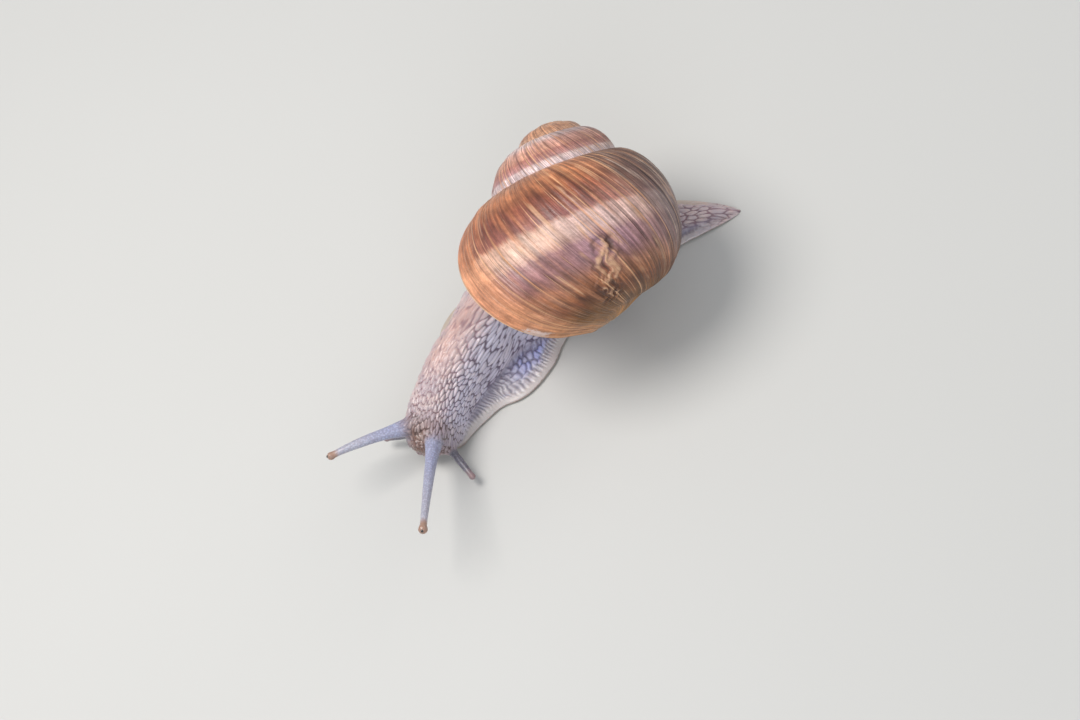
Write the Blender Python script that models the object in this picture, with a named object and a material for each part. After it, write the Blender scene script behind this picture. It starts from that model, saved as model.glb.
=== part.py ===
"""A Roman snail (Helix pomatia) crawling on a flat floor, life size.

The shell is one solid with a shallow mouth. The soft body is one swept form along the centre line of
the foot, parted by thin cuts into head, neck, trunk, foot_rear and tail. The mantle fills the mouth of
the shell. Two pairs of tentacles grow from the head, and the upper pair carry the eyes.
The snail faces -Y, its left side is +X, and the sole lies on z = 0. Sizes are in millimetres here and
are turned into metres as the meshes are made.
"""
import math

import bmesh
import bpy
import numpy as np
from mathutils import Euler, Vector

MM = 0.001
TAU = 2 * math.pi

# ---- driving dimensions -------------------------------------------------------------------------
MIDDLE = (-2.512, -1.699)      # middle of the whole snail's plan, which becomes the origin
GAP = 0.3                       # clearance between neighbouring solids
SHELL_GAP = 0.35                # clearance between the body and the faceted shell

# shell: a right-handed spiral round its own Z axis, apex at its origin, mouth below
SHELL_UNIT = 11.6               # distance from the axis to the middle of the whorl at the lip
WHORL_GROWTH = 1.771            # each whorl is this many times as large as the one before
SECTION = (0.970, 1.352)        # half-axes of the whorl's elliptical section, in shell units
SECTION_TILT = 0.153            # lean of that ellipse, in radians
DESCENT = (2.259, 1.397)        # depth of the whorl's middle below the apex: factor and power
LIP_LAG = (0.377, 0.020)        # how far the growth lines fall back from suture to axis
WHORLS = 4.3
STEPS_PER_WHORL = 44
SPIRE_ROWS = 7                  # rows of the mesh from the suture to the widest place
BASE_ROWS = 13                  # rows from there to the axis
SECTION_END = -0.93 * math.pi   # where the section reaches the axis
MOUTH_DEPTH = 0.24              # depth of the mouth, as an angle of the spiral
LIP_ROUND = 0.02                # the lip's edge turns in over this angle
LIP_THICKNESS = 0.075           # part of the section taken by the lip's wall
SHELL_TURN = (63.37, -4.66, -138.27)   # pose of the shell, Euler XYZ in degrees
APEX = (-10.67, 27.87, 27.15)

# body: stations along the centre line of the foot, from the snout back to the tip of the tail:
# x, y, half-width of the sole, shift of the body to the left, half-width of the body, height of the
# back, lean of the back to the left, lift of the underside
STATIONS = (
    (-10.8, -24.2, 3.0, -0.2, 4.0, 7.6, 0.0, 2.6),
    (-11.1, -22.6, 3.8, -0.3, 5.0, 9.1, 0.0, 1.2),
    (-11.5, -20.4, 4.5, -0.5, 5.2, 9.9, 0.0, 0.0),
    (-12.3, -16.0, 6.2, -0.6, 5.2, 10.9, 0.0, 0.0),
    (-12.6, -11.0, 7.9, -0.6, 5.5, 12.1, 0.1, 0.0),
    (-12.0, -6.0, 10.4, -1.2, 5.9, 14.3, 1.2, 0.0),
    (-12.2, -1.0, 11.1, -0.3, 6.4, 20.0, 5.0, 0.0),
    (-11.9, 4.0, 10.2, 0.6, 7.7, 29.0, 12.0, 0.0),
    (-10.8, 9.0, 9.5, 0.3, 7.8, 26.0, 11.0, 0.0),
    (-9.2, 14.0, 9.2, 0.0, 6.6, 7.0, 1.0, 0.0),
    (-5.6, 20.6, 8.4, 0.0, 5.2, 4.4, 0.0, 0.0),
    (-0.6, 27.0, 6.6, 0.0, 4.0, 4.4, 0.0, 0.0),
    (4.8, 32.0, 4.4, 0.0, 2.6, 3.6, 0.0, 0.0),
    (9.8, 35.6, 2.2, 0.0, 1.2, 2.2, 0.0, 0.0),
)
SNOUT_ROUND = 2.3               # length over which the snout rounds off
SNOUT_TURNS = (0.15, 0.38, 0.62, 0.85)     # its sections, as parts of a quarter turn
TAIL_ROUND = 1.6                # and the tip of the tail
TAIL_TURNS = (0.8, 0.55, 0.25)
SKIRT = 0.7                     # thickness of the foot's edge
SKIRT_TUCK = 0.6                # how far the sole's edge lies inside the foot's edge
SHELF = (2.4, 0.35)             # the foot's upper side meets the body this high, or at this part of the back
SHELF_RISE = 1.3                # above 1 the foot's upper side is hollow
STEP_ALONG = 1.7                # spacing of the body's sections
SLOPE_STEP = 0.05               # and the half-span over which their heading is measured
SHELF_POINTS = 3                # points over the foot's upper side, from its edge to the body
SECTION_POINTS = 17             # points over the back, from one side of the body to the other
SECTION_POWER = 0.8             # below 1 the back is fuller than an ellipse
CUTS = {"head": (0.0, 6.6), "neck": (6.6, 19.5), "trunk": (19.5, 43.0), "foot_rear": (43.0, 56.0),
        "tail": (56.0, 1000.0)}

# tentacles: base, azimuth from -Y towards +X, elevation, length, bend, radii at base, quarter, middle,
# neck and bulb
TENTACLES = {
    "upper_tentacle_left": ((-8.4, -23.6, 7.6), 34.5, 15.0, 20.8, 0.3, (1.60, 1.08, 0.80, 0.60, 0.83)),
    "upper_tentacle_right": ((-13.3, -23.5, 7.3), -35.0, 12.5, 14.6, 0.8, (1.70, 1.12, 0.85, 0.60, 0.72)),
    "lower_tentacle_left": ((-7.2, -23.2, 3.4), 68.0, -8.0, 6.6, 0.0, (0.85, 0.70, 0.62, 0.52, 0.60)),
    "lower_tentacle_right": ((-14.4, -23.2, 3.4), -60.0, -8.0, 5.8, 0.0, (0.85, 0.70, 0.62, 0.52, 0.60)),
}
TENTACLE_SIDES = 12
TENTACLE_STEPS = 9
WIDTH_PLACES = (0.0, 0.25, 0.6, 0.9)       # where the radii below the bulb hold, as parts of the length
BULB_TURNS = (-0.75, -0.3, 0.2, 0.6, 0.9)  # sections of the bulb, as parts of a quarter turn
EYE_RADIUS = 0.30
EYE_SUNK = 0.55                 # part of the eye's radius that lies inside the bulb
EYE_LIFT = 0.55                 # how far the eye looks up from the tentacle's line
EYE_GAP = 0.06
EYES = {"eye_left": "upper_tentacle_left", "eye_right": "upper_tentacle_right"}

# mantle: a plate that fills the mouth, between these two depths inside the lip's plane
MANTLE_FRONT = 0.4
MANTLE_DEPTH = 2.6
MANTLE_FILL = 0.985
ROOM_HEIGHT = 40.0              # the space above the mouth that the trunk is kept out of
ROOM_SPREAD = 3.0


# ---- materials ----------------------------------------------------------------------------------
def material(name, colour, roughness):
    made = bpy.data.materials.new(name)
    made.use_nodes = True
    shader = made.node_tree.nodes["Principled BSDF"]
    shader.inputs["Base Color"].default_value = (*colour, 1.0)
    shader.inputs["Roughness"].default_value = roughness
    shader.inputs["Metallic"].default_value = 0.0
    return made


def make_object(name, points, faces, surface, smooth=True):
    """A mesh object from points in millimetres, its faces turned outwards."""
    mesh = bpy.data.meshes.new(name)
    shift = np.array([MIDDLE[0], MIDDLE[1], 0.0])
    mesh.from_pydata(((np.asarray(points, float) - shift) * MM).tolist(), [], faces)
    work = bmesh.new()
    work.from_mesh(mesh)
    bmesh.ops.triangulate(work, faces=[f for f in work.faces if len(f.verts) > 4])
    bmesh.ops.recalc_face_normals(work, faces=work.faces)
    work.to_mesh(mesh)
    work.free()
    if smooth:
        mesh.shade_smooth()
    made = bpy.data.objects.new(name, mesh)
    bpy.context.collection.objects.link(made)
    if surface:
        mesh.materials.append(surface)
    return made


def cutter(made):
    made.hide_render = True
    made.display_type = "WIRE"
    return made


def carve(target, tool):
    cut = target.modifiers.new("cut_" + tool.name, "BOOLEAN")
    cut.operation = "DIFFERENCE"
    cut.solver = "EXACT"
    cut.object = tool


# ---- shell --------------------------------------------------------------------------------------
def growth(phase):
    return np.exp(math.log(WHORL_GROWTH) / TAU * np.asarray(phase, float))


def section_point(phase, angle, size=1.0):
    """Radius and height of the whorl's surface at this phase and angle round its section."""
    scale = growth(phase)
    across = SECTION[0] * scale * size * np.cos(angle)
    along = SECTION[1] * scale * size * np.sin(angle)
    lean_cos, lean_sin = math.cos(SECTION_TILT), math.sin(SECTION_TILT)
    radius = scale + across * lean_cos - along * lean_sin
    height = -DESCENT[0] * scale ** DESCENT[1] + across * lean_sin + along * lean_cos
    return radius, height


def inside_section(phase, radius, height):
    """Below zero inside the whorl's section, with the angle round that section."""
    scale = growth(phase)
    from_middle = radius - scale
    above = height + DESCENT[0] * scale ** DESCENT[1]
    lean_cos, lean_sin = math.cos(SECTION_TILT), math.sin(SECTION_TILT)
    across = (from_middle * lean_cos + above * lean_sin) / (SECTION[0] * scale)
    along = (-from_middle * lean_sin + above * lean_cos) / (SECTION[1] * scale)
    return across ** 2 + along ** 2 - 1, math.atan2(along, across)


def suture(phase):
    """Angle where this whorl leaves the one before, and the angle of that place on the one before."""
    high, low = 0.8 * math.pi, 0.5
    for _ in range(50):
        middle = (high + low) / 2
        value, before = inside_section(phase - TAU, *section_point(phase, middle))
        if value < 0:
            high = middle
        else:
            low = middle
    return low, before


def spiral_point(phase, angle, size=1.0):
    radius, height = section_point(phase, angle, size)
    radius = max(radius, 0.0)
    return np.array([radius * math.cos(-phase), radius * math.sin(-phase), height]) * SHELL_UNIT


def lag(drop):
    return LIP_LAG[0] * drop + LIP_LAG[1] * drop * drop


def shell_mesh():
    """Points and faces of the closed shell in its own frame, with the outline of its mouth."""
    steps = STEPS_PER_WHORL
    first = -int(round(WHORLS * steps))
    points, faces, index = [], [], {}

    def add(key, place):
        if key not in index:
            index[key] = len(points)
            points.append(place)
        return index[key]

    upper = {i: suture(i * TAU / steps) for i in range(first, steps + 1)}
    lower = {i: upper[i + steps][1] for i in range(first, 1)}
    pillar = spiral_point(0.0, SECTION_END)[2]
    mid_angle = lower[-steps]
    grid = {}
    for i in range(first, -steps + 1):                      # exposed part of the spire's whorls
        phase = i * TAU / steps
        for j in range(SPIRE_ROWS + 1):
            angle = upper[i][0] + (lower[i] - upper[i][0]) * j / SPIRE_ROWS
            key = ("seam", i + steps) if j == SPIRE_ROWS else ("seam", i) if j == 0 else (i, j)
            grid[i, j] = add(key, spiral_point(phase, angle))
    rows = SPIRE_ROWS + BASE_ROWS
    lip_rings = {0: [], 1: [], 2: []}
    for i in range(-steps, 1):                              # the last whorl, down to the axis
        phase = i * TAU / steps
        grown = 1.0 + i / steps                             # 0 where the last whorl begins, 1 at the lip
        for j in range(rows + 1):
            if j <= SPIRE_ROWS:
                angle = upper[i][0] + (mid_angle - upper[i][0]) * j / SPIRE_ROWS
            else:
                angle = mid_angle + (SECTION_END - mid_angle) * (j - SPIRE_ROWS) / BASE_ROWS
            back = phase - lag(upper[i][0] - angle) * grown
            place = spiral_point(back, angle)
            sink = max(0.0, (-0.5 * math.pi - angle) / (-0.5 * math.pi - SECTION_END))
            sink = sink * sink * (3 - 2 * sink)
            end_height = spiral_point(back, SECTION_END)[2]
            place[2] += (pillar - end_height) * sink
            if j == rows:
                key, place = "pillar", np.array([0.0, 0.0, pillar])
            elif j == 0:
                key = ("seam", i)
            elif i == -steps and j <= SPIRE_ROWS:
                key = ("seam", 0) if j == SPIRE_ROWS else (i, j)
            else:
                key = (i, j)
            grid[i, j] = add(key, place)
            if i == 0:
                wall = math.sin(math.pi * j / rows) ** 0.5
                inner = 1 - LIP_THICKNESS * wall
                for ring, depth in ((1, LIP_ROUND), (2, MOUTH_DEPTH)):
                    if j in (0, rows):
                        lip_rings[ring].append(grid[i, j])
                    else:
                        deep = spiral_point(back - depth * wall, angle, inner)
                        deep[2] += (pillar - end_height) * sink
                        lip_rings[ring].append(add((ring, j), deep))
                lip_rings[0].append(grid[i, j])

    def quad(*corners):
        kept = [c for k, c in enumerate(corners) if c != corners[k - 1]]
        if len(set(kept)) > 2:
            faces.append(kept)

    for i in range(first, -steps):
        for j in range(SPIRE_ROWS):
            quad(grid[i, j], grid[i + 1, j], grid[i + 1, j + 1], grid[i, j + 1])
    for i in range(-steps, 0):
        for j in range(rows):
            quad(grid[i, j], grid[i + 1, j], grid[i + 1, j + 1], grid[i, j + 1])
    for outer, inner in ((0, 1), (1, 2)):                   # the lip's edge and the wall inside it
        for j in range(rows):
            quad(lip_rings[outer][j], lip_rings[outer][j + 1], lip_rings[inner][j + 1], lip_rings[inner][j])
    parietal = [grid[-steps, j] for j in range(SPIRE_ROWS, rows + 1)]
    floor = lip_rings[2] + parietal[-2:0:-1]
    faces.append(floor)                                     # the bottom of the mouth
    tip = add("tip", spiral_point(first * TAU / steps, upper[first][0]) * (0, 0, 1))
    start = [grid[first, j] for j in range(SPIRE_ROWS, -1, -1)]
    rim = start + [index["seam", i] for i in range(first + 1, first + steps + 1)]
    for k in range(len(rim) - 1):
        quad(tip, rim[k], rim[k + 1])
    lip = [points[k] for k in lip_rings[0]]
    return np.array(points), faces, np.array(lip)


def place_shell(points):
    turn = np.array(Euler([math.radians(a) for a in SHELL_TURN], "XYZ").to_matrix())
    return points @ turn.T + np.array(APEX)


def swollen(points, faces, amount):
    """The same mesh with each point moved outwards along its normal."""
    work = bmesh.new()
    verts = [work.verts.new(p) for p in points]
    for face in faces:
        work.faces.new([verts[k] for k in face])
    bmesh.ops.recalc_face_normals(work, faces=work.faces)
    work.normal_update()
    moved = np.array([v.co + v.normal * amount for v in verts])
    work.free()
    return moved


def mouth_plane(lip):
    """Middle of the mouth and the direction it faces."""
    middle = lip.mean(axis=0)
    normal = np.linalg.svd(lip - middle)[2][2]
    return middle, normal if normal[2] < 0 else -normal


# ---- soft body ----------------------------------------------------------------------------------
def smooth_curve(keys, values, places):
    """Cubic interpolation through the values, with slopes from the neighbours."""
    keys, values = np.asarray(keys, float), np.asarray(values, float)
    slopes = np.gradient(values, keys)
    k = np.clip(np.searchsorted(keys, places, side="right") - 1, 0, len(keys) - 2)
    span = keys[k + 1] - keys[k]
    t = (places - keys[k]) / span
    return ((2 * t ** 3 - 3 * t ** 2 + 1) * values[k] + (t ** 3 - 2 * t ** 2 + t) * span * slopes[k]
            + (3 * t ** 2 - 2 * t ** 3) * values[k + 1] + (t ** 3 - t ** 2) * span * slopes[k + 1])


def station_keys():
    rows = np.array(STATIONS)
    runs = np.hypot(np.diff(rows[:, 0]), np.diff(rows[:, 1]))
    return rows, np.concatenate([[0.0], np.cumsum(runs)])


def body_ring(along, grow=0.0):
    """One closed section across the body, `along` millimetres behind the snout's first station."""
    rows, keys = station_keys()
    x, y, sole, shift, body, height, lean, lift = (float(smooth_curve(keys, rows[:, c], along))
                                                   for c in range(8))
    lift = max(lift, 0.0)
    dx, dy = (float(smooth_curve(keys, rows[:, c], along + SLOPE_STEP)
                    - smooth_curve(keys, rows[:, c], along - SLOPE_STEP)) for c in range(2))
    side = np.array([dy, -dx]) / math.hypot(dx, dy)         # towards the snail's left
    edge = lift + SKIRT
    shelf = max(min(SHELF[0], SHELF[1] * height), edge)
    parts = np.linspace(0, 1, SHELF_POINTS, endpoint=False)
    slope = edge + (shelf - edge) * parts ** SHELF_RISE
    turns = np.linspace(0, math.pi, SECTION_POINTS)
    rise = np.sin(turns)
    across = np.cos(turns)
    across = shift + np.sign(across) * np.abs(across) ** SECTION_POWER * body + lean * rise ** 2
    tuck = min(SKIRT_TUCK, 0.4 * sole)
    ring = [*zip(sole + (shift + body - sole) * parts, slope), *zip(across, shelf + (height - shelf) * rise),
            *zip(-sole + (shift - body + sole) * parts[::-1], slope[::-1]),
            (-(sole - tuck), lift), (sole - tuck, lift)]
    ring = np.array(ring)
    if grow:
        middle = ring.mean(axis=0)
        away = ring - middle
        ring = middle + away * (1 + grow / np.linalg.norm(away, axis=1, keepdims=True))
    return np.array([[x + side[0] * a, y + side[1] * a, z] for a, z in ring])


def body_length():
    return station_keys()[1][-1]


def body_piece(name, start, end, surface, grow=0.0):
    """A closed length of the body between two distances from the snout."""
    end = min(end, body_length())
    count = max(3, int(math.ceil((end - start) / STEP_ALONG)) + 1)
    rings = [body_ring(a, grow) for a in np.linspace(start, end, count)]
    if start == 0.0:                                        # the snout rounds off in front
        ahead = rings[0] - rings[1]
        ahead = ahead.mean(axis=0) / np.linalg.norm(ahead.mean(axis=0))
        middle = rings[0].mean(axis=0)
        nose = [middle + (rings[0] - middle) * math.sin(turn * math.pi / 2)
                + ahead * (SNOUT_ROUND * math.cos(turn * math.pi / 2) + grow) for turn in SNOUT_TURNS]
        rings = nose + rings
    if end == body_length():                                # and the tail behind, flat on the floor
        behind = (rings[-1] - rings[-2]).mean(axis=0) * (1, 1, 0)
        behind = behind / np.linalg.norm(behind)
        final = rings[-1]
        middle = final.mean(axis=0) * (1, 1, 0)
        for turn in TAIL_TURNS:
            rings.append(middle + (final - middle) * math.sin(turn * math.pi / 2)
                         + behind * TAIL_ROUND * math.cos(turn * math.pi / 2))
    points = np.vstack(rings)
    size = len(rings[0])
    faces = [list(range(size)), list(range(len(points) - 1, len(points) - size - 1, -1))]
    for r in range(len(rings) - 1):
        for k in range(size):
            after = (k + 1) % size
            faces.append([r * size + k, r * size + after, (r + 1) * size + after, (r + 1) * size + k])
    return make_object(name, points, faces, surface)


# ---- tentacles and eyes -------------------------------------------------------------------------
def tentacle_path(base, azimuth, elevation, length, bend):
    azimuth, elevation = math.radians(azimuth), math.radians(elevation)
    ahead = np.array([math.cos(elevation) * math.sin(azimuth), -math.cos(elevation) * math.cos(azimuth),
                      math.sin(elevation)])
    t = np.linspace(0, 1, TENTACLE_STEPS)[:, None]
    return np.array(base) + ahead * length * t + np.array([0, 0, bend]) * 4 * t * (1 - t)


def tentacle(name, surface, grow=0.0):
    base, azimuth, elevation, length, bend, radii = TENTACLES[name]
    bulb = radii[-1]
    path = tentacle_path(base, azimuth, elevation, length, bend)
    widths = list(smooth_curve(WIDTH_PLACES, radii[:-1], np.linspace(0, WIDTH_PLACES[-1], TENTACLE_STEPS - 1)))
    tip_way = (path[-1] - path[-2]) / np.linalg.norm(path[-1] - path[-2])
    middles = list(path[:-1])
    for turn in BULB_TURNS:
        middles.append(path[-1] + tip_way * bulb * math.sin(turn * math.pi / 2))
        widths.append(bulb * math.cos(turn * math.pi / 2))
    points, faces = [], []
    up = np.array([0.0, 0.0, 1.0])
    for n, (middle, width) in enumerate(zip(middles, widths)):
        way = middles[min(n + 1, len(middles) - 1)] - middles[max(n - 1, 0)]
        way = way / np.linalg.norm(way)
        side = np.cross(way, up)
        side /= np.linalg.norm(side)
        over = np.cross(side, way)
        for k in range(TENTACLE_SIDES):
            turn = TAU * k / TENTACLE_SIDES
            points.append(middle + (width + grow) * (math.cos(turn) * side + math.sin(turn) * over))
    size = TENTACLE_SIDES
    count = len(middles)
    for n in range(count - 1):
        for k in range(size):
            after = (k + 1) % size
            faces.append([n * size + k, n * size + after, (n + 1) * size + after, (n + 1) * size + k])
    faces.append(list(range(size)))
    faces.append(list(range(len(points) - size, len(points))))
    return make_object(name, points, faces, surface)


def eye_place(name):
    """Middle of the eye, set into the top of the bulb's tip."""
    base, azimuth, elevation, length, bend, radii = TENTACLES[EYES[name]]
    path = tentacle_path(base, azimuth, elevation, length, bend)
    look = (path[-1] - path[-2]) / np.linalg.norm(path[-1] - path[-2]) + np.array([0.0, 0.0, EYE_LIFT])
    return path[-1] + look / np.linalg.norm(look) * (radii[-1] - EYE_RADIUS * EYE_SUNK)


def bead(name, middle, radius, surface):
    mesh = bpy.data.meshes.new(name)
    work = bmesh.new()
    bmesh.ops.create_uvsphere(work, u_segments=10, v_segments=7, radius=radius * MM)
    place = (np.asarray(middle) - (MIDDLE[0], MIDDLE[1], 0.0)) * MM
    bmesh.ops.translate(work, verts=work.verts, vec=Vector(place))
    work.to_mesh(mesh)
    work.free()
    mesh.shade_smooth()
    made = bpy.data.objects.new(name, mesh)
    bpy.context.collection.objects.link(made)
    if surface:
        mesh.materials.append(surface)
    return made


# ---- mantle -------------------------------------------------------------------------------------
def plate(name, outline, middle, normal, front, back, size, surface):
    """A flat plate on the mouth's plane, between two depths into the shell."""
    flat = outline - np.outer((outline - middle) @ normal, normal)
    flat = middle + (flat - middle) * size
    rings = [flat - normal * front, flat - normal * back]
    count = len(flat)
    points = np.vstack(rings)
    faces = [list(range(count)), list(range(count, 2 * count))]
    for k in range(count):
        after = (k + 1) % count
        faces.append([k, after, count + after, count + k])
    return make_object(name, points, faces, surface, smooth=False)


# ---- assembly -----------------------------------------------------------------------------------
def build():
    for old in list(bpy.data.objects):
        bpy.data.objects.remove(old, do_unlink=True)

    shell_surface = material("shell_brown", (0.42, 0.22, 0.10), 0.38)
    skin = material("skin_beige", (0.45, 0.37, 0.32), 0.42)
    mantle_cream = material("mantle_cream", (0.62, 0.55, 0.45), 0.42)
    feeler = material("feeler_grey", (0.42, 0.37, 0.40), 0.35)
    eye = material("eye_black", (0.01, 0.01, 0.01), 0.15)

    points, faces, lip = shell_mesh()
    shell_points = place_shell(points)
    make_object("shell", shell_points, faces, shell_surface)
    room = cutter(make_object("shell_room", swollen(shell_points, faces, SHELL_GAP), faces, None, False))
    middle, normal = mouth_plane(place_shell(lip))
    above_mouth = cutter(plate("above_mouth", place_shell(lip), middle, normal, MANTLE_FRONT - GAP,
                               ROOM_HEIGHT, ROOM_SPREAD, None))

    mantle = plate("mantle", place_shell(lip), middle, normal, MANTLE_FRONT, MANTLE_DEPTH, MANTLE_FILL,
                   mantle_cream)
    carve(mantle, room)

    last = body_length()
    for name, (start, end) in CUTS.items():
        first = start + GAP / 2 if start else 0.0
        final = end - GAP / 2 if end < last else last
        piece = body_piece(name, first, final, skin)
        if name in ("trunk", "foot_rear", "tail"):
            carve(piece, room)
        if name == "trunk":
            carve(piece, above_mouth)

    head_room = cutter(body_piece("head_room", 0.0, CUTS["neck"][1], None, GAP))
    for name in TENTACLES:
        carve(tentacle(name, feeler), head_room)
    for name, carrier in EYES.items():
        bead(name, eye_place(name), EYE_RADIUS, eye)
        socket = cutter(bead(name + "_socket", eye_place(name), EYE_RADIUS + EYE_GAP, None))
        carve(bpy.data.objects[carrier], socket)


build()
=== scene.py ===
"""A Roman snail (Helix pomatia) crawling with its feelers out, life size.

One continuous skin stands for every fleshy node, a ribbed and banded shell for the shell node, and two
glossy beads for the eyes. Shapes are worked out in millimetres in the modelling frame, where the snail
faces -Y and its left side is +X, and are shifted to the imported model's place as the meshes are made.
"""
import math

import bmesh
import bpy
import numpy as np
from mathutils import Euler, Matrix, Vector
from mathutils.bvhtree import BVHTree


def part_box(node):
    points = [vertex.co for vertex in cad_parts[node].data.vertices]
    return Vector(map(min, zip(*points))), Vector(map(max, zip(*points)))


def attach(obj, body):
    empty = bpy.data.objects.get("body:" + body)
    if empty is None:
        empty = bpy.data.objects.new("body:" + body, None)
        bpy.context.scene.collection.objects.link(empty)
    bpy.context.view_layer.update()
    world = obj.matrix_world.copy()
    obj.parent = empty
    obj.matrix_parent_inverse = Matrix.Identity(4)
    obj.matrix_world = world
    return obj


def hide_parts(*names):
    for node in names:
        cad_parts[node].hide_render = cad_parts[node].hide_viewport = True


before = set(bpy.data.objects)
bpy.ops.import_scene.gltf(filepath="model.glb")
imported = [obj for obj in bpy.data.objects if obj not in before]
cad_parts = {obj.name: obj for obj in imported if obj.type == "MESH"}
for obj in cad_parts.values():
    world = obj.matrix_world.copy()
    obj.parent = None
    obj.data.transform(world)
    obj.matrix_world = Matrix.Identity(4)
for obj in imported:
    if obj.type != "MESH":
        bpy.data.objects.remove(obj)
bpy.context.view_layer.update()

MM = 0.001
TAU = 2 * math.pi

# ---- shell's spiral, the same as the solid's ------------------------------------------------------
SHELL_UNIT = 11.6
WHORL_GROWTH = 1.771
SECTION = (0.970, 1.352)
SECTION_TILT = 0.153
DESCENT = (2.259, 1.397)
LIP_LAG = (0.377, 0.020)
WHORLS = 4.3
SECTION_END = -0.93 * math.pi
SHELL_TURN = (63.37, -4.66, -138.27)
APEX = (-10.67, 27.87, 27.15)
STEPS_PER_WHORL = 960
SPIRE_ROWS = 52
BASE_ROWS = 190
# the lip: its wall's part of the section, and rings from the edge inwards, each with its share of that
# thickness and its depth as an angle of the spiral
LIP_THICKNESS = 0.055
LIP_RINGS = ((0.30, -0.006), (0.72, -0.008), (1.0, 0.0), (1.0, 0.03), (1.0, 0.08), (1.0, 0.15), (1.0, 0.24))
# the mantle in the mouth: depth and size of the collar's middle, then of the plate's two faces
MANTLE = ((0.065, 0.855), (0.10, 0.90), (0.20, 0.88))
COLLAR_RADIUS = 1.05
COLLAR_ABOVE = 9.0              # the collar stays above this height
STALK_DEPTH = 2.8               # how far the body reaches into the mouth
FLESH_SIZE = 0.93               # flesh behind the lip keeps inside this part of the section
SHELL_CLEARANCE = 0.12          # and elsewhere this far off the shell
# the healed scar: its line's place and slope, its half-width as an angle, and its height
SCAR_AT = (-1.22, -0.44)
SCAR_WIDTH = 0.120
SCAR_HEIGHT = 0.36

# ---- body's stations, the same as the solids' -----------------------------------------------------
# each has its x and y, the sole's half-width, how far the body's middle is moved across, its half-width,
# its height, its lean and the sole's height
STATIONS = (
    (-10.8, -24.2, 3.0, -0.2, 4.0, 7.6, 0.0, 2.6),
    (-11.1, -22.6, 3.8, -0.3, 5.0, 9.1, 0.0, 1.2),
    (-11.5, -20.4, 4.5, -0.5, 5.2, 9.9, 0.0, 0.0),
    (-12.3, -16.0, 6.2, -0.6, 5.2, 10.9, 0.0, 0.0),
    (-12.6, -11.0, 7.9, -0.6, 5.5, 12.1, 0.1, 0.0),
    (-12.0, -6.0, 10.4, -1.2, 5.9, 14.3, 1.2, 0.0),
    (-12.2, -1.0, 11.1, -0.3, 6.4, 20.0, 5.0, 0.0),
    (-11.9, 4.0, 10.2, 0.6, 7.7, 29.0, 12.0, 0.0),
    (-10.8, 9.0, 9.5, 0.3, 7.8, 26.0, 11.0, 0.0),
    (-9.2, 14.0, 9.2, 0.0, 6.6, 7.0, 1.0, 0.0),
    (-5.6, 20.6, 8.4, 0.0, 5.2, 4.4, 0.0, 0.0),
    (-0.6, 27.0, 6.6, 0.0, 4.0, 4.4, 0.0, 0.0),
    (4.8, 32.0, 4.4, 0.0, 2.6, 3.6, 0.0, 0.0),
    (9.8, 35.6, 2.2, 0.0, 1.2, 2.2, 0.0, 0.0),
)
SNOUT_ROUND = 2.3               # how far the snout bulges ahead of the first station
SKIRT = 0.7                     # height of the foot's edge
SHELF = (2.4, 0.35)
SHELF_RISE = 1.3
SECTION_POWER = 0.8
# root, azimuth and elevation, length, upward bend, and radii at WIDTH_PLACES and of the bulb
TENTACLES = {
    "upper_left": ((-8.4, -23.6, 7.6), 34.5, 15.0, 20.8, 0.3, (1.60, 1.08, 0.80, 0.60, 0.83)),
    "upper_right": ((-13.3, -23.5, 7.3), -35.0, 12.5, 14.6, 0.8, (1.70, 1.12, 0.85, 0.60, 0.72)),
    "lower_left": ((-7.2, -23.2, 3.4), 68.0, -8.0, 6.6, 0.0, (0.85, 0.70, 0.62, 0.52, 0.60)),
    "lower_right": ((-14.4, -23.2, 3.4), -60.0, -8.0, 5.8, 0.0, (0.85, 0.70, 0.62, 0.52, 0.60)),
}
WIDTH_PLACES = (0.0, 0.25, 0.6, 0.9)
EYE_RADIUS = 0.30
EYE_SUNK = 0.55
EYE_LIFT = 0.55
EYE_BEAD = 0.92 * EYE_RADIUS

# ---- skin -----------------------------------------------------------------------------------------
VOXEL = 0.15
RING_SPACING = 0.45
SHELF_POINTS = 16               # points over the foot's upper side, over the back and under the sole
BACK_POINTS = 90
SOLE_POINTS = 11
PATH_REACH = 2.0                # half-span over which a section's heading is measured
TAIL_POINT = 4.0                # length of the tail's point
REAR_FROM = 50.0                # the rear of the foot starts this far along
RIGHT_RIM = 0.9                 # how far the foot's right edge is drawn out beside the neck
FLANK_IN = 1.5                  # and the right flank is drawn in
FOOT_FRONT = ((-11.5, -20.5, 0.52), (4.6, 2.7, 0.52), 0.06)        # rounded front edge: middle, radii, turn
LIPS = (((-10.1, -25.3, 3.2), (1.15, 1.2, 1.2), 0.3), ((-12.0, -25.3, 3.2), (1.15, 1.2, 1.2), -0.3))
SNOUT_MIDDLE = (-11.05, -25.0, 3.4)
# tubercles: places along the body, with their length, width and height there
TUBERCLE_LENGTHS = ((-6, 0, 5, 10, 18, 32, 60, 80), (1.0, 1.05, 1.35, 1.75, 2.4, 2.8, 2.2, 1.8))
TUBERCLE_WIDTHS = ((-6, 2, 10, 20, 40, 55, 80), (0.46, 0.50, 0.61, 0.82, 0.98, 0.85, 0.7))
TUBERCLE_DEPTHS = ((-5, 0, 8, 18, 30, 60, 80), (0.22, 0.26, 0.35, 0.44, 0.48, 0.40, 0.25))
CLIMB = ((0.0, -0.80, -0.60), (0.0, 0.60, -0.80), (1.0, 0.0, 0.0))  # axes of the rows below the shell
CLIMB_CELL = (2.3, 1.1, 1.1)
SNOUT_CELL = (0.62, 0.62, 0.62)
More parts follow.
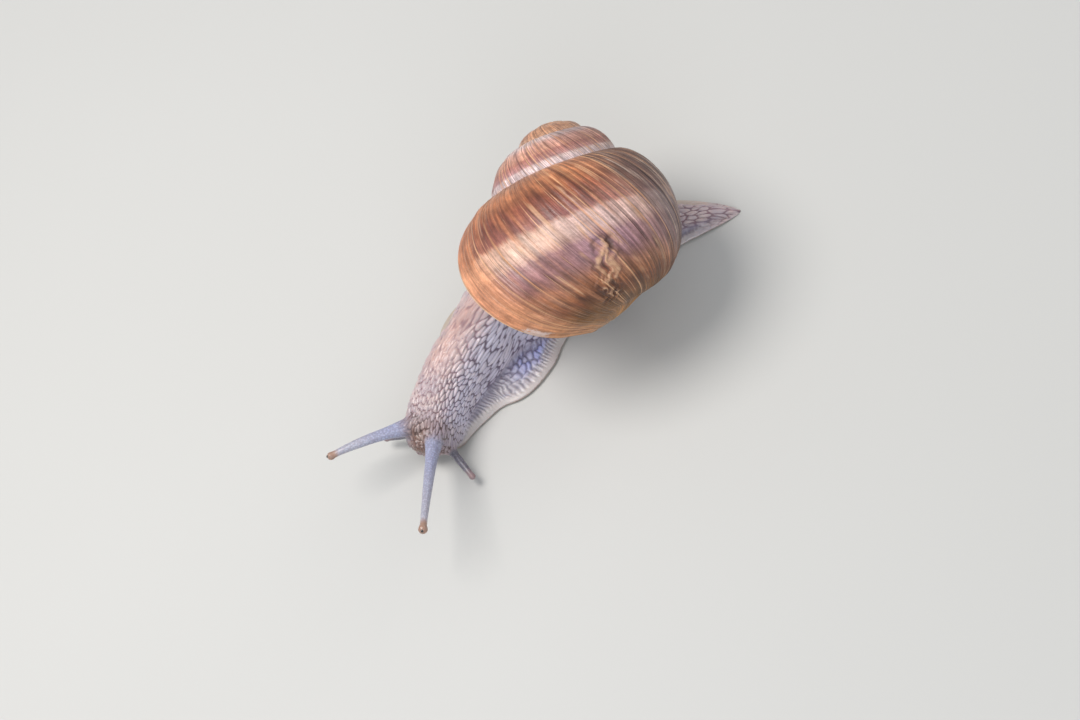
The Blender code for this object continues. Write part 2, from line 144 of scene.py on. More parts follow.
# heights of the foot's stripes, knobs, groove and edge furrow, and of the body's broad folds
STRIPE_DEPTH = 0.26
BEAD_DEPTH = 0.38
GROOVE_DEPTH = 0.24
FURROW_DEPTH = 0.08
FOLD_HEIGHT = 0.35
# grains on the tentacles: spacing along and round, and height by the share of the length
GRAIN_LENGTH = 0.46
GRAINS_ROUND = 18
GRAIN_DEPTHS = ((0, 0.12, 0.3, 0.85, 0.95), (0.12, 0.07, 0.03, 0.02, 0.0))

# ---- floor, lights and camera, in metres ----------------------------------------------------------
FLOOR_REACH = 3.0
WORLD_COLOUR = (0.90, 0.95, 1.0, 1.0)
WORLD_STRENGTH = 0.50
LIGHTS = (                      # name, place, aim, size, power, colour
    ("key", (-0.12, -0.10, 0.42), (0, 0, 0.012), 0.27, 1.60, (1.0, 0.97, 0.93)),
    ("fill", (0.34, -0.30, 0.30), (0, 0, 0.012), 0.40, 0.70, (0.92, 0.96, 1.0)),
    ("back", (0.10, 0.42, 0.26), (0, 0, 0.015), 0.25, 0.30, (1.0, 0.98, 0.95)),
)
SENSOR = 36.0                   # millimetres, as is the lens
LENS = 100.09
CAMERA_PLACE = (251.539, -143.353, 417.799)        # millimetres in the modelling frame
CAMERA_TURN = (30.702, 17.695, 33.839)             # degrees


# ---- noise ----------------------------------------------------------------------------------------
def smoothstep(low, high, x):
    t = np.clip((x - low) / (high - low), 0.0, 1.0)
    return t * t * (3 - 2 * t)


def lattice(ix, iy, seed):
    """A fixed pseudo-random number from 0 to 1 for each pair of whole numbers."""
    n = np.asarray(ix, np.int64) * 374761393 + np.asarray(iy, np.int64) * 668265263 + seed * 974634777
    n &= 0xFFFFFFFF
    n = ((n ^ (n >> 13)) * 1274126177) & 0xFFFFFFFF
    n = ((n ^ (n >> 16)) * 2246822519) & 0xFFFFFFFF
    return ((n ^ (n >> 15)) & 0xFFFFFF) / float(0xFFFFFF)


def noise(x, y, seed=0, octaves=1):
    """Smooth value noise from 0 to 1."""
    total, weight, reach = 0.0, 1.0, 0.0
    for octave in range(octaves):
        ix, iy = np.floor(x), np.floor(y)
        fx, fy = x - ix, y - iy
        fx, fy = fx * fx * (3 - 2 * fx), fy * fy * (3 - 2 * fy)
        s = seed + 17 * octave
        a = lattice(ix, iy, s) * (1 - fx) + lattice(ix + 1, iy, s) * fx
        b = lattice(ix, iy + 1, s) * (1 - fx) + lattice(ix + 1, iy + 1, s) * fx
        total = total + weight * (a * (1 - fy) + b * fy)
        reach += weight
        weight *= 0.5
        x, y = x * 2.03 + 11.3, y * 2.03 + 5.7
    return total / reach


def nearest_two(spots, count):
    """Distances to the nearest and second nearest of a field of points, and the nearest one's number."""
    first, second, number = np.full(count, 1e9), np.full(count, 1e9), np.zeros(count)
    for d, own in spots:
        nearer = d < first
        second = np.where(nearer, first, np.minimum(second, d))
        number = np.where(nearer, own, number)
        first = np.where(nearer, d, first)
    return first, second, number


def cells(x, y, seed, jitter, wrap=None):
    """A flat field of points in staggered rows, which may wrap round."""
    ix, iy = np.floor(x).astype(np.int64), np.floor(y).astype(np.int64)

    def spots():
        for dx in (-2, -1, 0, 1, 2):
            for dy in (-1, 0, 1):
                cx, cy = ix + dx, iy + dy
                key = np.mod(cy, wrap) if wrap else cy
                px = cx + 0.5 * np.mod(cy, 2) + 0.5 + jitter * (lattice(cx, key, seed) - 0.5)
                py = cy + 0.5 + 0.6 * jitter * (lattice(cx, key, seed + 1) - 0.5)
                yield np.hypot(px - x, py - y), lattice(cx, key, seed + 2)
    return nearest_two(spots(), len(x))


def cells_in_space(points, seed, jitter=0.9):
    low = np.floor(points).astype(np.int64)

    def spots():
        for step in np.ndindex(3, 3, 3):
            cx, cy, cz = (low + step - 1).T
            a, b = cx + 4099 * cz, cy - 8191 * cz
            spot = [c + 0.5 + jitter * (lattice(a, b, seed + k) - 0.5) for k, c in enumerate((cx, cy, cz))]
            d = np.sqrt(sum((q - points[:, k]) ** 2 for k, q in enumerate(spot)))
            yield d, lattice(a, b, seed + 5)
    return nearest_two(spots(), len(points))


# ---- mesh help ------------------------------------------------------------------------------------
def mesh_from(name, points, faces):
    mesh = bpy.data.meshes.new(name)
    mesh.from_pydata([tuple(p) for p in points], [], faces)
    return mesh


def outward(mesh):
    work = bmesh.new()
    work.from_mesh(mesh)
    bmesh.ops.recalc_face_normals(work, faces=work.faces)
    work.to_mesh(mesh)
    work.free()
    return mesh


def read(items, field, width=1, kind=np.int32):
    """One field of all a mesh's points, normals, edges, corners or faces."""
    out = np.empty(len(items) * width, kind)
    items.foreach_get(field, out)
    return out.reshape(-1, width) if width > 1 else out


def coordinates(mesh):
    return read(mesh.vertices, "co", 3, float)


def move_points(mesh, points):
    mesh.vertices.foreach_set("co", np.ascontiguousarray(points, float).ravel())
    mesh.update()


def vertex_normals(mesh):
    return read(mesh.vertex_normals, "vector", 3, float)


def store(mesh, name, values, domain="POINT"):
    """Keeps numbers or vectors on the mesh, for its material to read."""
    kind, field = ("FLOAT", "value") if values.ndim == 1 else ("FLOAT_VECTOR", "vector")
    attribute = mesh.attributes.new(name, kind, domain)
    attribute.data.foreach_set(field, np.ascontiguousarray(values, np.float32).ravel())


def finish_piece(name, mesh, material, *nodes, slot):
    """Puts a mesh made in millimetres in its place, under the root body, and hides the imported parts it
    stands for.
    """
    move_points(mesh, (coordinates(mesh) - SHIFT) * MM)
    mesh.shade_smooth()
    mesh.materials.append(material)
    piece = bpy.data.objects.new(name, mesh)
    bpy.context.collection.objects.link(piece)
    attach(piece, "root")
    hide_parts(*nodes)
    return piece


def ring_faces(rings):
    """Points and quads of a tube through closed rings of as many points each."""
    size = len(rings[0])
    index = np.arange(len(rings) * size).reshape(-1, size)
    after = np.roll(index, -1, axis=1)
    quads = np.stack([index[:-1], after[:-1], after[1:], index[1:]], -1).reshape(-1, 4)
    return np.vstack(rings), quads, index[0].tolist(), index[-1].tolist()


# ---- shell ----------------------------------------------------------------------------------------
LEAN_COS, LEAN_SIN = math.cos(SECTION_TILT), math.sin(SECTION_TILT)
SHELL_AXES = np.array(Euler([math.radians(a) for a in SHELL_TURN], "XYZ").to_matrix())


def growth(phase):
    return np.exp(math.log(WHORL_GROWTH) / TAU * np.asarray(phase, float))


def section_point(phase, angle, size=1.0):
    scale = growth(phase)
    across = SECTION[0] * scale * size * np.cos(angle)
    along = SECTION[1] * scale * size * np.sin(angle)
    radius = scale + across * LEAN_COS - along * LEAN_SIN
    height = -DESCENT[0] * scale ** DESCENT[1] + across * LEAN_SIN + along * LEAN_COS
    return radius, height


def inside_section(phase, radius, height):
    scale = growth(phase)
    from_middle = radius - scale
    above = height + DESCENT[0] * scale ** DESCENT[1]
    across = (from_middle * LEAN_COS + above * LEAN_SIN) / (SECTION[0] * scale)
    along = (-from_middle * LEAN_SIN + above * LEAN_COS) / (SECTION[1] * scale)
    return across ** 2 + along ** 2 - 1, np.arctan2(along, across)


def suture(phase):
    """Angles at which a whorl's section meets the whorl before it, on the new and on the old section."""
    phase = np.asarray(phase, float)
    high, low = np.full(phase.shape, 0.8 * math.pi), np.full(phase.shape, 0.5)
    for _ in range(40):
        middle = (high + low) / 2
        value, _before = inside_section(phase - TAU, *section_point(phase, middle))
        high, low = np.where(value < 0, middle, high), np.where(value < 0, low, middle)
    _value, before = inside_section(phase - TAU, *section_point(phase, low))
    return low, before


def spiral_point(phase, angle, size=1.0):
    radius, height = section_point(phase, angle, size)
    radius = np.maximum(radius, 0.0)
    return np.stack([radius * np.cos(-phase), radius * np.sin(-phase), height], -1) * SHELL_UNIT


def lag(drop):
    """How far a growth line falls back from the seam, that many radians of the section below it."""
    return LIP_LAG[0] * drop + LIP_LAG[1] * drop * drop


def place_shell(points):
    return points @ SHELL_AXES.T + np.array(APEX)


def shell_grid(steps, spire_rows, base_rows):
    """Points, faces and, for each point, growth coordinate, section angle, phase and relief weight; then
    the lip's line and the mantle's lines inside it."""
    first = -int(round(WHORLS * steps))
    step = TAU / steps
    upper, before = suture(np.arange(first, steps + 1) * step)

    def up(i):
        return upper[i - first]

    def low(i):
        return before[i + steps - first]

    rows = spire_rows + base_rows
    points, growths, angles, phases, weights = [], [], [], [], []

    def add(block, grow_at, angle, phase, weight):
        start = sum(len(p) for p in points)
        points.append(block.reshape(-1, 3))
        shape = block.shape[:-1]
        for kept, value in ((growths, grow_at), (angles, angle), (phases, phase), (weights, weight)):
            kept.append(np.broadcast_to(value, shape).ravel())
        return start + np.arange(len(points[-1])).reshape(shape)

    # seams, shared by the whorl above and the whorl below
    n = np.arange(first, 1)
    seam = add(spiral_point(n * step, up(n)), n * step, up(n), n * step, 0.0)
    # spire
    n = np.arange(first, -steps + 1)
    part = np.arange(1, spire_rows) / spire_rows
    angle = up(n)[:, None] + (low(n) - up(n))[:, None] * part[None]
    phase = np.broadcast_to((n * step)[:, None], angle.shape)
    edge = np.minimum(part, 1 - part)[None] * spire_rows
    spire = add(spiral_point(phase, angle), phase + lag(up(n)[:, None] - angle), angle, phase,
                smoothstep(0, 4, edge))
    spire_full = np.hstack([seam[n - first][:, None], spire, seam[n + steps - first][:, None]])
    # last whorl
    n = np.arange(-steps, 1)
    mid_angle = low(-steps)
    j = np.arange(0, rows + 1)
    upper_part = np.minimum(j / spire_rows, 1.0)
    lower_part = np.maximum((j - spire_rows) / base_rows, 0.0)
    top = up(n)[:, None]
    angle = np.where(j[None] <= spire_rows, top + (mid_angle - top) * upper_part[None],
                     mid_angle + (SECTION_END - mid_angle) * lower_part[None])
    grown = (1.0 + n / steps)[:, None]
    phase = (n * step)[:, None]
    back = phase - lag(top - angle) * grown
    place = spiral_point(back, angle)
    pillar = spiral_point(0.0, SECTION_END)[2]
    sink = smoothstep(-0.5 * math.pi, SECTION_END, angle)
    fall = (pillar - spiral_point(back, SECTION_END)[..., 2]) * sink
    place[..., 2] += fall
    place[:, -1] = (0.0, 0.0, pillar)
    grow_at = back + lag(top - angle)
    weight = smoothstep(0, 5, j[None]) * smoothstep(0, 12, rows - j[None]) * np.ones_like(grown)
    body = np.empty(angle.shape, int)
    rest = (slice(1, None), slice(1, -1))
    body[rest] = add(place[rest], grow_at[rest], angle[rest], back[rest], weight[rest])
    body[:, 0] = seam[n - first]
    body[0, 1:spire_rows] = spire[-1]
    body[0, spire_rows] = seam[-first]
    start = (0, slice(spire_rows + 1, -1))
    body[start] = add(place[start], grow_at[start], angle[start], back[start], 0.0)
    body[:, -1] = add(np.array([[0.0, 0.0, pillar]]), 0.0, SECTION_END, 0.0, 0.0)[0]
    # lip: rounded over, then the wall inside the mouth
    wall = np.abs(np.sin(math.pi * j / rows)) ** 0.5
    rings = [body[-1]]
    for share, depth in LIP_RINGS:
        deep = spiral_point(back[-1] - depth * wall, angle[-1], 1 - LIP_THICKNESS * wall * share)
        deep[:, 2] += fall[-1]
        ring = add(deep[1:-1], 0.0, angle[-1][1:-1], back[-1][1:-1], 0.0)
        rings.append(np.concatenate([[body[-1, 0]], ring, [body[-1, -1]]]))

    def strip(grid):
        a, b, c, d = grid[:-1, :-1], grid[1:, :-1], grid[1:, 1:], grid[:-1, 1:]
        return np.stack([a, b, c, d], -1).reshape(-1, 4)

    quads = np.vstack([strip(spire_full), strip(body), strip(np.array(rings))])
    faces = []
    for quad in quads.tolist():
        kept = [c for k, c in enumerate(quad) if c != quad[k - 1]]
        if len(set(kept)) > 2:
            faces.append(kept)
    # the mouth's floor, then the tip
    floor = rings[-1].tolist() + body[0, spire_rows:].tolist()[-2:0:-1]
    floor = [c for k, c in enumerate(floor) if c != floor[k - 1]]
    middle = add(np.mean([np.vstack(points)[floor]], axis=1), 0.0, 0.0, 0.0, 0.0)[0]
    faces += [[floor[k - 1], floor[k], middle] for k in range(len(floor))]
    tip = add(spiral_point(first * step, up(first))[None] * (0, 0, 1), first * step, up(first),
              first * step, 0.0)[0]
    rim = spire_full[0, ::-1].tolist() + seam[1:steps + 1].tolist()
    for k in range(len(rim) - 1):
        if rim[k] != rim[k + 1]:
            faces.append([tip, rim[k], rim[k + 1]])
    lip = np.vstack(points)[body[-1]]
    inner = slice(rows // 16, -(rows // 16))
    sunk = np.stack([0 * fall[-1], 0 * fall[-1], fall[-1]], -1)
    mantle = [(spiral_point(back[-1] - depth, angle[-1], size) + sunk)[inner] for depth, size in MANTLE]
    notes = [np.concatenate(kept) for kept in (growths, angles, phases, weights)]
    return (place_shell(np.vstack(points)), faces, notes, place_shell(lip),
            [place_shell(line) for line in mantle])


shell_points, shell_faces, shell_notes, lip_line, mantle_lines = shell_grid(
    STEPS_PER_WHORL, SPIRE_ROWS, BASE_ROWS)

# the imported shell's place gives the shift from the modelling frame to the row frame
packed_low, packed_high = (np.array(corner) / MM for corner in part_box("shell"))
SHIFT = (shell_points.min(axis=0) + shell_points.max(axis=0)) / 2 - (packed_low + packed_high) / 2
SHIFT[2] = 0.0

mouth_middle = lip_line.mean(axis=0)
mouth_normal = np.linalg.svd(lip_line - mouth_middle)[2][2]
mouth_normal = mouth_normal if mouth_normal[2] < 0 else -mouth_normal


def scar(g, t):
    """An old break that healed crookedly: nearness to it, and how the shell is crumpled there."""
    path = SCAR_AT[0] + SCAR_AT[1] * (t + 0.29)
    path = path + 0.06 * (noise(t * 7.0, t * 0, 8) - 0.5) + 0.03 * (noise(t * 19.0, t * 0, 18) - 0.5)
    off = g - path
    there = smoothstep(-0.16, -0.36, t) * smoothstep(-1.38, -1.10, t)
    near = np.exp(-(off / SCAR_WIDTH) ** 4) * there
    # wavy strands that run with the growth lines and break up into short folds lower down
    low = smoothstep(-0.62, -0.90, t)
    bent = off * 21 + (1.3 + 1.5 * low) * (noise(t * 8.0, g * 6.0, 58, 2) - 0.5)
    folds = 1 - np.abs(2 * noise(bent, t * 3.0, 48) - 1)
    short = 1 - np.abs(2 * noise(bent * 1.3 + 7.0, t * 9.0, 68) - 1)
    folds = folds + (short - folds) * 0.55 * low
    crumple = 2.6 * (folds - 0.60)
    return near, np.clip(crumple, -1, 1) * there


def shell_relief(g, t, phase, weight):
    """Height of the growth ridges over the plain shell, in millimetres, how the scar is crumpled there,
    and how near it is."""
    scale = growth(np.minimum(phase, 0.0))
    h = g + 0.010 * (noise(g * 5, t * 1.6, 5) - 0.5)
    coarse = noise(h * 22, t * 0.4, 1) - 0.5
    ridge = 1 - np.abs(2 * noise(h * 40, t * 0.5, 2) - 1)
    fine = noise(h * 95, t * 0.9, 3) - 0.5
    swell = noise(h * 6.5, t * 0.35, 4) - 0.5
    rest = np.maximum(noise(h * 9, t * 0.25, 6) - 0.62, 0.0)
    relief = 0.16 * coarse + 0.12 * (ridge ** 3 - 0.25) + 0.08 * fine + 0.20 * swell + 0.5 * rest
    near, crumple = scar(g, t)
    near = np.where(phase > -TAU - 0.5, near, 0.0)
    relief = relief + near * crumple * SCAR_HEIGHT
    fade = weight * np.clip(scale, 0.15, 1.0) * np.where(phase < -2.2 * TAU, 0.35, 1.0)
    return relief * fade, near * (0.5 + 0.5 * crumple), near


def make_shell():
    mesh = outward(mesh_from("snail_shell", shell_points, shell_faces))
    relief, crumple, scarred = shell_relief(*shell_notes)
    move_points(mesh, shell_points + vertex_normals(mesh) * relief[:, None])
    corner = read(mesh.loops, "vertex_index")
    g, t, p = (values[corner] for values in shell_notes[:3])
    # a seam's points belong to two whorls: in each face they take the values of that face's whorl
    sizes = read(mesh.polygons, "loop_total")
    owner = np.repeat(np.arange(len(sizes)), sizes)
    newest = np.full(len(sizes), 1e9)
    oldest = np.full(len(sizes), -1e9)
    np.minimum.at(newest, owner, p)
    np.maximum.at(oldest, owner, p)
    turned = (oldest - newest > 3.0)[owner] & (p - newest[owner] > 3.0)
    _up, below = suture(np.where(turned, p, 0.0))
    up_above, _ = suture(np.where(turned, p - TAU, 0.0))
    g = np.where(turned, p - TAU + lag(up_above - below), g)
    t = np.where(turned, below, t)
    p = np.where(turned, p - TAU, p)
    store(mesh, "spiral", np.stack([g, t, p], -1), "CORNER")
    store(mesh, "relief", np.stack([relief, crumple, scarred], -1))
    return mesh


# ---- body -----------------------------------------------------------------------------------------
def smooth_curve(keys, values, places):
    keys, values = np.asarray(keys, float), np.asarray(values, float)
    slopes = np.gradient(values, keys)
    k = np.clip(np.searchsorted(keys, places, side="right") - 1, 0, len(keys) - 2)
    span = keys[k + 1] - keys[k]
    t = (places - keys[k]) / span
    return ((2 * t ** 3 - 3 * t ** 2 + 1) * values[k] + (t ** 3 - 2 * t ** 2 + t) * span * slopes[k]
            + (3 * t ** 2 - 2 * t ** 3) * values[k + 1] + (t ** 3 - t ** 2) * span * slopes[k + 1])


STATION_ROWS = np.array(STATIONS)
STATION_KEYS = np.concatenate([[0.0], np.cumsum(np.hypot(*np.diff(STATION_ROWS[:, :2], axis=0).T))])
BODY_LENGTH = STATION_KEYS[-1]


def body_ring(along):
    """A closed section across the body and, for each point, its distance from the middle of the back, its
    distance from the foot's edge and its distance above (or, below zero, under) the foot's groove."""
    def at(place, columns):
        return [float(smooth_curve(STATION_KEYS, STATION_ROWS[:, c], place)) for c in range(columns)]

    x, y, sole, shift, body, height, lean, lift = at(along, 8)
    lift = max(lift, 0.0)
    before, after = at(max(along - PATH_REACH, 0.0), 2), at(min(along + PATH_REACH, BODY_LENGTH), 2)
    dx, dy = after[0] - before[0], after[1] - before[1]
    side = np.array([dy, -dx]) / math.hypot(dx, dy)
    edge = lift + SKIRT
    shelf = max(min(SHELF[0], SHELF[1] * height), edge)
    parts = np.linspace(0, 1, SHELF_POINTS, endpoint=False)
    slope = edge + (shelf - edge) * parts ** SHELF_RISE
    turns = np.linspace(0, math.pi, BACK_POINTS)
    rise, across = np.sin(turns), np.cos(turns)
    across = shift + np.sign(across) * np.abs(across) ** SECTION_POWER * body + lean * rise ** 2
    left = np.stack([sole + (shift + body - sole) * parts, slope], -1)
    right = np.stack([-sole + (shift - body + sole) * parts[::-1], slope[::-1]], -1)
    back = np.stack([across, shelf + (height - shelf) * rise], -1)
    curl = min(1.0, sole / 1.5)
    rim = np.array([(-(sole + 0.08 * curl), lift + 0.62 * SKIRT),
                    (-(sole - 0.02 * curl), lift + 0.28 * SKIRT),
                    (-(sole - 0.25 * curl), lift + 0.06 * SKIRT)])
    under = np.stack([np.linspace(-(sole - 0.6 * curl), sole - 0.6 * curl, SOLE_POINTS),
                      np.full(SOLE_POINTS, lift)], -1)
    ring = np.vstack([left, back, right, rim, under, rim[::-1] * (-1, 1)])
    runs = np.concatenate([[0.0], np.cumsum(np.hypot(*np.diff(ring, axis=0).T))])
    middle = SHELF_POINTS + BACK_POINTS // 2
    from_back = runs[middle] - runs
    last = 2 * SHELF_POINTS + BACK_POINTS - 1
    shelf_left, shelf_right = runs[SHELF_POINTS], runs[last] - runs[SHELF_POINTS + BACK_POINTS - 1]
    from_edge = np.minimum(runs, runs[last] - runs)
    above = np.where(np.arange(len(ring)) <= middle, runs - shelf_left, runs[last] - shelf_right - runs)
    under_side = np.arange(len(ring)) > last
    from_edge = np.where(under_side, -np.minimum(runs - runs[last], 2.0), from_edge)
    above = np.where(under_side, -9.0, above)
    from_back = np.where(under_side, np.sign(ring[:, 0]) * abs(from_back[0]), from_back)
    drawn_in = FLANK_IN * smoothstep(14, 21, along) * smoothstep(38, 30, along)
    drawn_in = drawn_in * smoothstep(0.1, 0.7, (shift - ring[:, 0]) / body)
    ring[:, 0] += drawn_in * smoothstep(2.2, 2.5, ring[:, 1]) * smoothstep(18.0, 8.0, ring[:, 1])
    drawn_out = RIGHT_RIM * smoothstep(11, 25, along) * smoothstep(42, 30, along)
    drawn_out = drawn_out * smoothstep(0.55, 0.9, -ring[:, 0] / sole)
    ring[:, 0] -= drawn_out * smoothstep(2.3, 1.0, ring[:, 1] - lift)
    points = np.stack([x + side[0] * ring[:, 0], y + side[1] * ring[:, 0], ring[:, 1]], -1)
    return points, np.stack([np.full(len(ring), along), from_back, from_edge, above], -1)


def body_loft():
    """The body's sections from the snout to the tip of the tail, and the notes on their points."""
    count = int(BODY_LENGTH / RING_SPACING) + 1
    made = [body_ring(a) for a in np.linspace(0, BODY_LENGTH, count)]
    rings = [m[0] for m in made]
    notes = [m[1] for m in made]
    ahead = (rings[0] - rings[1]).mean(axis=0)
    ahead = ahead / np.linalg.norm(ahead)
    middle = rings[0].mean(axis=0)
    nose, nose_notes, tail, tail_notes = [], [], [], []
    for turn in np.linspace(0.04, 0.97, 14):
        s, c = math.sin(turn * math.pi / 2), math.cos(turn * math.pi / 2)
        nose.append(middle + (rings[0] - middle) * s + ahead * SNOUT_ROUND * c)
        note = notes[0].copy()
        note[:, 0] = -4.6 * (1 - turn)
        note[:, 1] *= s
        nose_notes.append(note)
    behind = (rings[-1] - rings[-2]).mean(axis=0) * (1, 1, 0)
    behind = behind / np.linalg.norm(behind)
    base = rings[-1].mean(axis=0) * (1, 1, 0)
    for part in np.linspace(0.06, 0.985, 18):
        shrink = (1 - part) ** 0.72
        tail.append(base + (rings[-1] - base) * shrink + behind * TAIL_POINT * part)
        note = notes[-1].copy()
        note[:, 0] += TAIL_POINT * part
        note[:, 1] *= shrink
        tail_notes.append(note)
    rings = nose + rings + tail
    notes = nose_notes + notes + tail_notes
    return *ring_faces(rings), np.vstack(notes)


def tentacle_way(name):
    azimuth, elevation = (math.radians(a) for a in TENTACLES[name][1:3])
    level = math.cos(elevation)
    return np.array([level * math.sin(azimuth), -level * math.cos(azimuth), math.sin(elevation)])


def tentacle_axis(name):
    """The tentacle's centre line and its radii."""
    base, _azimuth, _elevation, length, bend, radii = TENTACLES[name]
    t = np.linspace(-0.12, 1, 60)[:, None]
    arch = np.array([0, 0, bend]) * 4 * np.maximum(t, 0) * (1 - t)
    path = np.array(base) + tentacle_way(name) * length * t + arch
    widths = smooth_curve(WIDTH_PLACES, radii[:-1], np.clip(t[:, 0], 0, WIDTH_PLACES[-1]))
    widths = widths + 0.35 * radii[0] * np.exp(-np.maximum(t[:, 0] * length, 0) / 1.1)
    bulb = radii[-1]
    to_end = length * (1 - t[:, 0])
    ball = np.sqrt(np.maximum(bulb ** 2 - to_end ** 2, 0.0))
    widths = np.maximum(widths, ball)
    way = (path[-1] - path[-2]) / np.linalg.norm(path[-1] - path[-2])
    turns = np.linspace(0.1, 0.96, 10)
    path = np.vstack([path, path[-1] + way * bulb * np.sin(turns * math.pi / 2)[:, None]])
    widths = np.concatenate([widths, bulb * np.cos(turns * math.pi / 2)])
    return path, widths


def tube(path, widths, sides=36):
    points, up = [], np.array([0.0, 0.0, 1.0])
    for n in range(len(path)):
        way = path[min(n + 1, len(path) - 1)] - path[max(n - 1, 0)]
        way = way / np.linalg.norm(way)
        side = np.cross(way, up)
        side /= np.linalg.norm(side)
        over = np.cross(side, way)
        turn = TAU * np.arange(sides) / sides
        points.append(path[n] + widths[n] * (np.cos(turn)[:, None] * side + np.sin(turn)[:, None] * over))
    return closed_tube(points)


def closed_tube(rings):
    points, quads, first, last = ring_faces(rings)
    return points, quads.tolist() + [first, last]


def ball(middle, radii, turn=0.0, rings=18, sides=28):
    """A closed ellipsoid, turned about Z."""
    rows = []
    for a in np.linspace(-0.5 * math.pi + 0.08, 0.5 * math.pi - 0.08, rings):
        b = TAU * np.arange(sides) / sides
        p = np.stack([radii[0] * np.cos(a) * np.cos(b), radii[1] * np.cos(a) * np.sin(b),
                      np.full(sides, radii[2] * np.sin(a))], -1)
        c, s = math.cos(turn), math.sin(turn)
        rows.append(p @ np.array([[c, s, 0], [-s, c, 0], [0, 0, 1]]) + np.array(middle))
    return closed_tube(rows)


def mouth_pieces():
    """The mantle's thick collar inside the lip, and the plate of flesh behind it."""
    collar, *plate = [line[::3] for line in mantle_lines]
    taper = np.sqrt(np.sin(math.pi * np.linspace(0.03, 0.97, len(collar))))
    return tube(collar, COLLAR_RADIUS * np.clip(taper * 1.3, 0, 1), 20), closed_tube(plate)


def clipped(points, faces, middle, normal):
    """The part of a closed mesh on the normal's side of a plane, closed again with a flat cap."""
    mesh = mesh_from("clip", points, faces)
    work = bmesh.new()
    work.from_mesh(mesh)
    geometry = work.verts[:] + work.edges[:] + work.faces[:]
    cut = bmesh.ops.bisect_plane(work, geom=geometry, plane_co=Vector(middle), plane_no=Vector(normal),
                                 clear_inner=True)
    edges = [e for e in cut["geom_cut"] if isinstance(e, bmesh.types.BMEdge)]
    bmesh.ops.holes_fill(work, edges=edges, sides=0)
    out_points = np.array([v.co[:] for v in work.verts])
    work.verts.index_update()
    out_faces = [[v.index for v in f.verts] for f in work.faces]
    work.free()
    bpy.data.meshes.remove(mesh)
    return out_points, out_faces


def fused(parts):
    """One closed surface round all the closed parts together."""
    points, faces, start = [], [], 0
    for part_points, part_faces in parts:
        points.append(np.asarray(part_points))
        faces += [[c + start for c in f] for f in part_faces]
        start += len(part_points)
    mesh = outward(mesh_from("parts", np.vstack(points), faces))
    holder = bpy.data.objects.new("parts", mesh)
    bpy.context.collection.objects.link(holder)
    remesh = holder.modifiers.new("fuse", "REMESH")
    remesh.mode = "VOXEL"
    remesh.voxel_size = VOXEL
    remesh.adaptivity = 0.0
    made = bpy.data.meshes.new_from_object(holder.evaluated_get(bpy.context.evaluated_depsgraph_get()))
    bpy.data.objects.remove(holder, do_unlink=True)
    bpy.data.meshes.remove(mesh)
    return made


def relax(points, edges, weight, rounds, step=0.5):
    """Moves each point towards the mean of its neighbours, as far as its weight says."""
    degree = np.bincount(edges.ravel(), minlength=len(points)).astype(float)[:, None]
    for _ in range(rounds):
        total = np.zeros_like(points)
        for axis in range(points.shape[1]):
            total[:, axis] = (np.bincount(edges[:, 0], points[edges[:, 1], axis], minlength=len(points))
                              + np.bincount(edges[:, 1], points[edges[:, 0], axis], minlength=len(points)))
        points = points + step * weight[:, None] * (total / np.maximum(degree, 1) - points)
    return points


loft_points, loft_quads, nose_ring, tail_ring, loft_notes = body_loft()


def tentacle_notes(points, axes):
    """What each point has to do with the tentacles: how much it belongs to one, how far along and how far
    round it is, its share of the length, whether that is an upper one, and how near its root is."""
    belongs, along, around, share, upper, near_root = np.zeros((6, len(points)))
    for name, (path, widths) in axes.items():
        base, length = np.array(TENTACLES[name][0]), TENTACLES[name][3]
        high = name.startswith("upper")
        which = np.flatnonzero(np.linalg.norm(points - path.mean(axis=0), axis=1) < length * 0.75 + 3)
        p = points[which]
        distance = np.linalg.norm(p[:, None] - path[None], axis=2)
        nearest = distance.argmin(axis=1)
        runs = np.concatenate([[0], np.cumsum(np.linalg.norm(np.diff(path, axis=0), axis=1))])
        run = runs[nearest] - runs[np.argmin(np.linalg.norm(path - base, axis=1))]
        off_path = distance[np.arange(len(p)), nearest]
        on = (off_path < widths[nearest] * 1.25 + 0.25) & (run > -0.5)
        way = (path[-1] - path[0]) / np.linalg.norm(path[-1] - path[0])
        side = np.cross(way, (0, 0, 1.0))
        side /= np.linalg.norm(side)
        offset = p - path[nearest]
        turn = np.arctan2(offset @ np.cross(side, way), offset @ side)
        amount = smoothstep(0.6, 3.4 if high else 1.4, run) * on
        stronger = amount > belongs[which]
        for kept, value in ((belongs, amount), (along, run), (around, turn), (share, run / length),
                            (upper, float(high))):
            kept[which] = np.where(stronger, value, kept[which])
        root = np.exp(-np.maximum(np.linalg.norm(p - base, axis=1) - 1.6, 0) ** 2)
        near_root[which] = np.maximum(near_root[which], root)
    return belongs, along, around, share, upper, near_root


